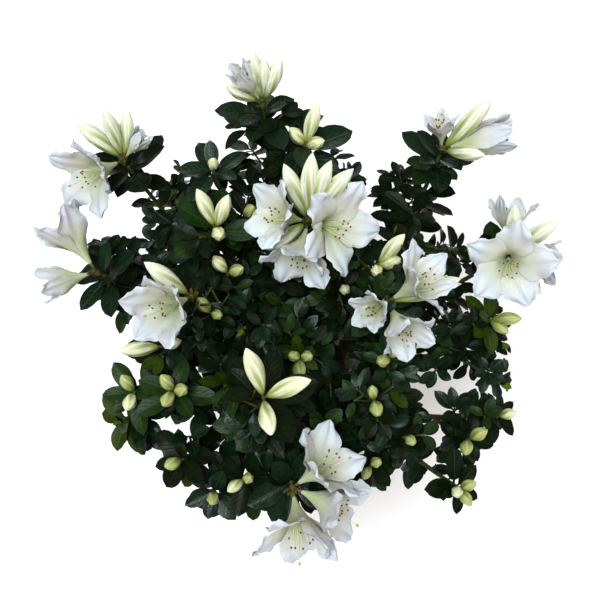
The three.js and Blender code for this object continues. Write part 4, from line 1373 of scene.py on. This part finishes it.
class AZALEA_OT_foliage(bpy.types.Operator):
    """Grows the stems, twigs, leaves and small buds of every mass"""

    bl_idname = "azalea.foliage"
    bl_label = "Foliage"

    def execute(self, context):
        settings, obstacles = context.scene.azalea_foliage, []
        for name in ("wood", "petals", "large_buds"):
            if name not in bpy.data.objects:
                raise RuntimeError(f"{name} has to be made before the foliage")
            mesh = bpy.data.objects[name].data
            vertices = np.zeros(len(mesh.vertices) * 3)
            mesh.vertices.foreach_get("co", vertices)
            polygons = [tuple(polygon.vertices) for polygon in mesh.polygons]
            obstacles.append(BVHTree.FromPolygons((vertices.reshape(-1, 3) / MM).tolist(), polygons))
        foliage = Foliage(settings, context.scene.azalea_bloom, obstacles)
        for index, mass in enumerate(crown()):
            foliage.grow(mass, Random(index + 1))
        self.pieces(foliage, tuple(settings.leaf_green), context.scene.azalea_wood)
        return {"FINISHED"}

    def pieces(self, foliage, green, wood):
        looks = [("Deep", (1.0, 1.0, 1.0), 0.3, 0.15), ("Blue Green", (1.2, 1.8, 3.0), 0.25, 0.32),
                 ("Mid", (2.6, 3.0, 2.5), 0.32, 0.2), ("Olive", (5.0, 4.2, 1.1), 0.4, 0.18),
                 ("Young", (14.0, 10.5, 1.8), 0.45, 0.2), ("Underside", (3.9, 3.5, 2.9), 0.6, 0.1)]
        tones = [leaf_material(f"Leaf {name}", tinted(green, factor), *shine) for name, factor, *shine in looks]
        for side, heap in foliage.leaves.items():
            nodes = [f"foliage_{mass.name}" for mass in crown() if mass.side == side]
            join_frame(heap.piece(f"leaves_{side}", tones), nodes)
        nodes = [f"foliage_{mass.name}" for mass in crown()]
        bark, fresh = tuple(wood.bark), tuple(wood.green_wood)
        twigs = [bark_material("Brown Twig", bark, fresh, 0.75),
                 bark_material("Green Twig", fresh, tinted(fresh, (0.6, 0.7, 0.6)), 0.6)]
        join_frame(foliage.twigs.piece("twigs", twigs, sharp=False), nodes)
        buds = [bud_material("Small Bud", (0.41, 0.44, 0.19), (0.2, 0.24, 0.05), 0.6),
                bud_material("Shoot Bud", (0.7, 0.71, 0.53), (0.34, 0.38, 0.09), 0.34),
                bud_material("Pale Small Bud", (0.64, 0.65, 0.43), (0.33, 0.37, 0.1), 0.45)]
        join_frame(foliage.buds.piece("small_buds", buds), nodes)
        husk = plain_material("Bud Husk", (0.11, 0.12, 0.03, 1), (0.2, 0.12, 0.045, 1), 0.65)
        join_frame(foliage.scales.piece("husks", [husk]), nodes)


# The stage.


class AZALEA_OT_stage(bpy.types.Operator):
    """Lays the floor and sets the lights and the camera"""

    bl_idname = "azalea.stage"
    bl_label = "Stage"

    def execute(self, context):
        settings = context.scene.azalea_stage
        mesh = bpy.data.meshes.new("floor")
        work = bmesh.new()
        bmesh.ops.create_grid(work, x_segments=1, y_segments=1, size=settings.floor / 2)
        work.to_mesh(mesh)
        work.free()
        floor = show("floor", mesh, [plain_material("Pale Floor", (0.92, 0.92, 0.92, 1), (0.94, 0.94, 0.94, 1), 0.9)])
        self.world(context.scene)
        power = settings.light
        self.light("Window", (-0.45, -0.7, 2.5), 1.5, power * 6.4, (0.91, 0.96, 1.0))
        self.light("Fill", (1.3, -0.6, 1.3), 1.6, power * 0.7, (1.0, 0.985, 0.96))
        self.light("Back", (-0.5, 1.6, 1.2), 1.0, power * 1.2, (0.97, 0.985, 1.0))
        self.camera(context.scene, settings)
        return {"FINISHED"}

    def world(self, scene):
        world = bpy.data.worlds.new("Soft Sky")
        world.use_nodes = True
        background = world.node_tree.nodes["Background"]
        background.inputs["Color"].default_value = (1.0, 0.985, 0.96, 1)
        background.inputs["Strength"].default_value = 0.55
        scene.world = world

    def light(self, name, spot, size, power, colour):
        data = bpy.data.lights.new(name, "AREA")
        data.shape, data.size, data.energy, data.color = "DISK", size, power, colour
        lamp = bpy.data.objects.new(name, data)
        lamp.location = spot
        lamp.rotation_euler = (Vector((0, 0, 0.28)) - Vector(spot)).to_track_quat("-Z", "Y").to_euler()
        bpy.context.scene.collection.objects.link(lamp)

    def camera(self, scene, settings):
        data = bpy.data.cameras.new("Camera")
        data.lens = settings.lens
        camera = bpy.data.objects.new("Camera", data)
        back = Vector((0, -math.cos(settings.elevation), math.sin(settings.elevation)))
        camera.location = Vector((0, 0, settings.aim)) + back * settings.distance
        camera.rotation_euler = (-back).to_track_quat("-Z", "Y").to_euler()
        scene.collection.objects.link(camera)
        scene.camera = camera
        scene.view_settings.view_transform = "Standard"
        scene.view_settings.gamma = 0.8


class AZALEA_PT_panel(bpy.types.Panel):
    """Lists the pieces of the plant and their sizes"""

    bl_label = "Potted Azalea"
    bl_idname = "AZALEA_PT_panel"
    bl_space_type = "VIEW_3D"
    bl_region_type = "UI"
    bl_category = "Azalea"

    def draw(self, context):
        for name in STEPS:
            box = self.layout.box()
            box.operator(f"azalea.{name}")
            settings = getattr(context.scene, f"azalea_{name}")
            for key in settings.__annotations__:
                box.prop(settings, key)


STEPS = {
    "pot": (PotSettings, AZALEA_OT_pot),
    "compost": (CompostSettings, AZALEA_OT_compost),
    "wood": (WoodSettings, AZALEA_OT_wood),
    "bloom": (BloomSettings, AZALEA_OT_bloom),
    "foliage": (FoliageSettings, AZALEA_OT_foliage),
    "stage": (StageSettings, AZALEA_OT_stage),
}


def register():
    for name, (settings, operator) in STEPS.items():
        bpy.utils.register_class(settings)
        bpy.utils.register_class(operator)
        setattr(bpy.types.Scene, f"azalea_{name}", PointerProperty(type=settings))
    bpy.utils.register_class(AZALEA_PT_panel)


def unregister():
    bpy.utils.unregister_class(AZALEA_PT_panel)
    for name, (settings, operator) in reversed(STEPS.items()):
        delattr(bpy.types.Scene, f"azalea_{name}")
        bpy.utils.unregister_class(operator)
        bpy.utils.unregister_class(settings)


def main():
    register()
    for name in STEPS:
        getattr(bpy.ops.azalea, name)()


if __name__ == "__main__":
    main()
